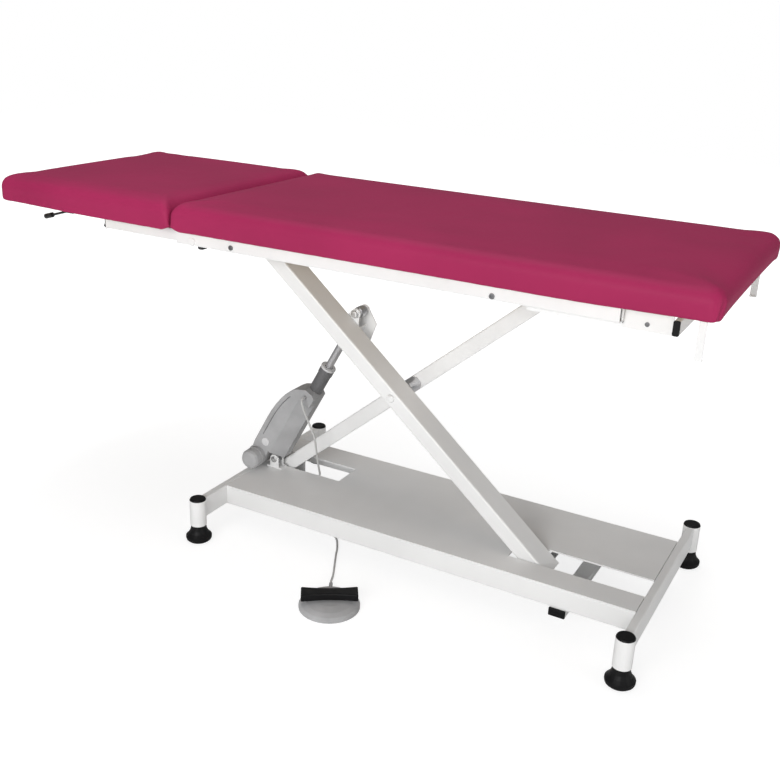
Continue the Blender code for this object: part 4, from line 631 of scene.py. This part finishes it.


# drive unit: pale ring on the tube, band on the motor, boss on the housing and painted shade along the
# housing's parting line
driveLean = math.radians(61.376)
driveAxis = Vector((math.cos(driveLean), 0, math.sin(driveLean)))
driveSide = Vector((-math.sin(driveLean), 0, math.cos(driveLean)))
driveFoot = Vector((-0.25355, 0.0508, 0.140))


def alongDrive(along, offset=0.0, y=driveFoot.y):  # a spot counted from the drive's foot pin
    spot = driveFoot + driveAxis * along + driveSide * offset
    return Vector((spot.x, y, spot.z))


def makeRing(name, spec, place, direction, finish, body):
    dropSelection()
    bpy.ops.mesh.primitive_cylinder_add(vertices=48, radius=spec["outer"], depth=spec["height"],
                                        end_fill_type="NGON")
    ring = bpy.context.object
    ring.name = name
    openMesh(ring)
    pickFaces(ring, lambda c, n: abs(n.z) > 0.99)
    bpy.ops.mesh.inset(thickness=spec["outer"] - spec["inner"], depth=0, use_even_offset=True)
    bpy.ops.mesh.bridge_edge_loops()
    rim = spec["outer"] * 0.99
    pickEdges(ring, lambda a, b: abs(a.z - b.z) < 1e-6 and min(a.to_2d().length, b.to_2d().length) > rim)
    bpy.ops.mesh.bevel(offset=spec["height"] * 0.22, segments=2, affect="EDGES")
    closeOutward()
    settle(ring, place, facing(direction))
    bpy.ops.object.shade_smooth_by_angle(angle=edgeAngle)
    return dress(ring, finish, body)


tubeRing = {"outer": 0.0202, "inner": 0.0109, "height": 0.0060, "along": 0.3410}
makeRing("tubeRing", tubeRing, alongDrive(tubeRing["along"]), driveAxis,
         extraFinishes["paleGrey"], "actuator")
motorLow, motorHigh = nodeSpan(["actuator_motor"])
motorSpot = (motorLow + motorHigh) / 2
motorBand = {"outer": 0.0277, "inner": 0.0265, "height": 0.0040, "share": 0.30}
bandSpot = (motorSpot.x, motorHigh.y + (motorLow.y - motorHigh.y) * motorBand["share"], motorSpot.z)
makeRing("motorBand", motorBand, bandSpot, (0, 1, 0), finishes["grey_plastic"], "actuator")
nearFace = 0.0138  # the housing's near face in y
housingBoss = {"radius": 0.0120, "height": 0.0030, "dome": 0.18, "along": 0.0465, "offset": 0.038}
bossSpot = alongDrive(housingBoss["along"], housingBoss["offset"], nearFace)
makeScrew("housingBoss", housingBoss, bossSpot, (0, -1, 0),
          extraFinishes["paleGrey"], "actuator")

housingSeam = {
    "radius": 0.0013, "start": 0.062, "crest": 0.111, "reach": 0.129, "low": 0.0185, "rise": 0.0365,
    "turns": 14, "stopLean": 35,
}


def makeSeam(spec):  # the parting line along the housing's hump, drawn as a dark grey bead that is painted shade of the line
    route = [alongDrive(spec["start"], spec["low"] + spec["rise"], nearFace)]
    for step in range(spec["turns"] + 1):
        lean = math.radians(90 + (spec["stopLean"] - 90) * step / spec["turns"])
        along = spec["crest"] + spec["reach"] * math.cos(lean)
        route.append(alongDrive(along, spec["low"] + spec["rise"] * math.sin(lean), nearFace))
    seam = sweepTube("housingSeam", route, spec["radius"])
    dress(seam, extraFinishes["shadowGrey"], "actuator")


makeSeam(housingSeam)
print("drive unit dressed")


# floor, backdrop light and lamps
studioLight = {
    "floorSize": 16,
    "ambient": 0.24,
    "floorGlow": 1.28,
    "floorShare": 0.62,
    "fadeRun": (0.9, 1.9),
    "lamps": {
        "frontLamp": {"place": (0.5, -4.2, 1.7), "aim": (0.1, 0.0, 0.5), "size": (3.0, 1.6), "power": 122},
        "topLamp": {"place": (-0.6, 0.4, 4.2), "aim": (0.0, 0.0, 0.6), "size": (3.0, 3.0), "power": 62},
        "footLamp": {"place": (4.2, -0.6, 1.2), "aim": (0.4, 0.0, 0.4), "size": (2.4, 2.0), "power": 34},
    },
}


def lightStage(look):
    dropSelection()
    bpy.ops.mesh.primitive_plane_add(size=look["floorSize"], location=(0, 0, 0))
    floor = bpy.context.object
    floor.name = "studioFloor"
    openMesh(floor)
    bpy.ops.mesh.select_all(action="SELECT")
    bpy.ops.mesh.subdivide(number_cuts=4)
    closeMesh()
    finish, tree, shader = startFinish("palePaper", (0.86, 0.86, 0.86), 0.9, 0.0, 0.1)
    glow = tree.nodes.new("ShaderNodeEmission")
    glow.inputs["Strength"].default_value = look["floorGlow"]
    rays = tree.nodes.new("ShaderNodeLightPath")
    coords = tree.nodes.new("ShaderNodeTexCoord")
    reach = tree.nodes.new("ShaderNodeVectorMath")
    reach.operation = "LENGTH"
    fade = tree.nodes.new("ShaderNodeMapRange")  # the floor melts into the white backdrop
    fade.inputs["From Min"].default_value, fade.inputs["From Max"].default_value = look["fadeRun"]
    fade.inputs["To Min"].default_value = look["floorShare"]
    fade.inputs["To Max"].default_value = 1.0
    share = tree.nodes.new("ShaderNodeMath")
    share.operation = "MULTIPLY"
    mix = tree.nodes.new("ShaderNodeMixShader")
    out = tree.nodes["Material Output"]
    tree.links.new(coords.outputs["Object"], reach.inputs[0])
    tree.links.new(reach.outputs["Value"], fade.inputs["Value"])
    tree.links.new(rays.outputs["Is Camera Ray"], share.inputs[0])
    tree.links.new(fade.outputs["Result"], share.inputs[1])
    tree.links.new(share.outputs[0], mix.inputs["Fac"])
    tree.links.new(shader.outputs["BSDF"], mix.inputs[1])
    tree.links.new(glow.outputs["Emission"], mix.inputs[2])
    tree.links.new(mix.outputs["Shader"], out.inputs["Surface"])
    floor.data.materials.append(finish)

    world = bpy.data.worlds.new("studioWorld")
    scene.world = world
    world.use_nodes = True
    tree = world.node_tree
    backdrop = tree.nodes["Background"]
    rays = tree.nodes.new("ShaderNodeLightPath")
    level = tree.nodes.new("ShaderNodeMapRange")
    level.inputs["To Min"].default_value = look["ambient"]
    level.inputs["To Max"].default_value = 1.0
    tree.links.new(rays.outputs["Is Camera Ray"], level.inputs["Value"])
    tree.links.new(level.outputs["Result"], backdrop.inputs["Strength"])
    backdrop.inputs["Color"].default_value = (1, 1, 1, 1)

    for name, lamp in look["lamps"].items():
        dropSelection()
        bpy.ops.object.light_add(type="AREA", location=lamp["place"])
        light = bpy.context.object
        light.name = name
        light.data.shape = "RECTANGLE"
        light.data.size, light.data.size_y = lamp["size"]
        light.data.energy = lamp["power"]
        aim = Vector(lamp["aim"]) - Vector(lamp["place"])
        light.rotation_euler = aim.to_track_quat("-Z", "Y").to_euler()


lightStage(studioLight)
print("studio lit")
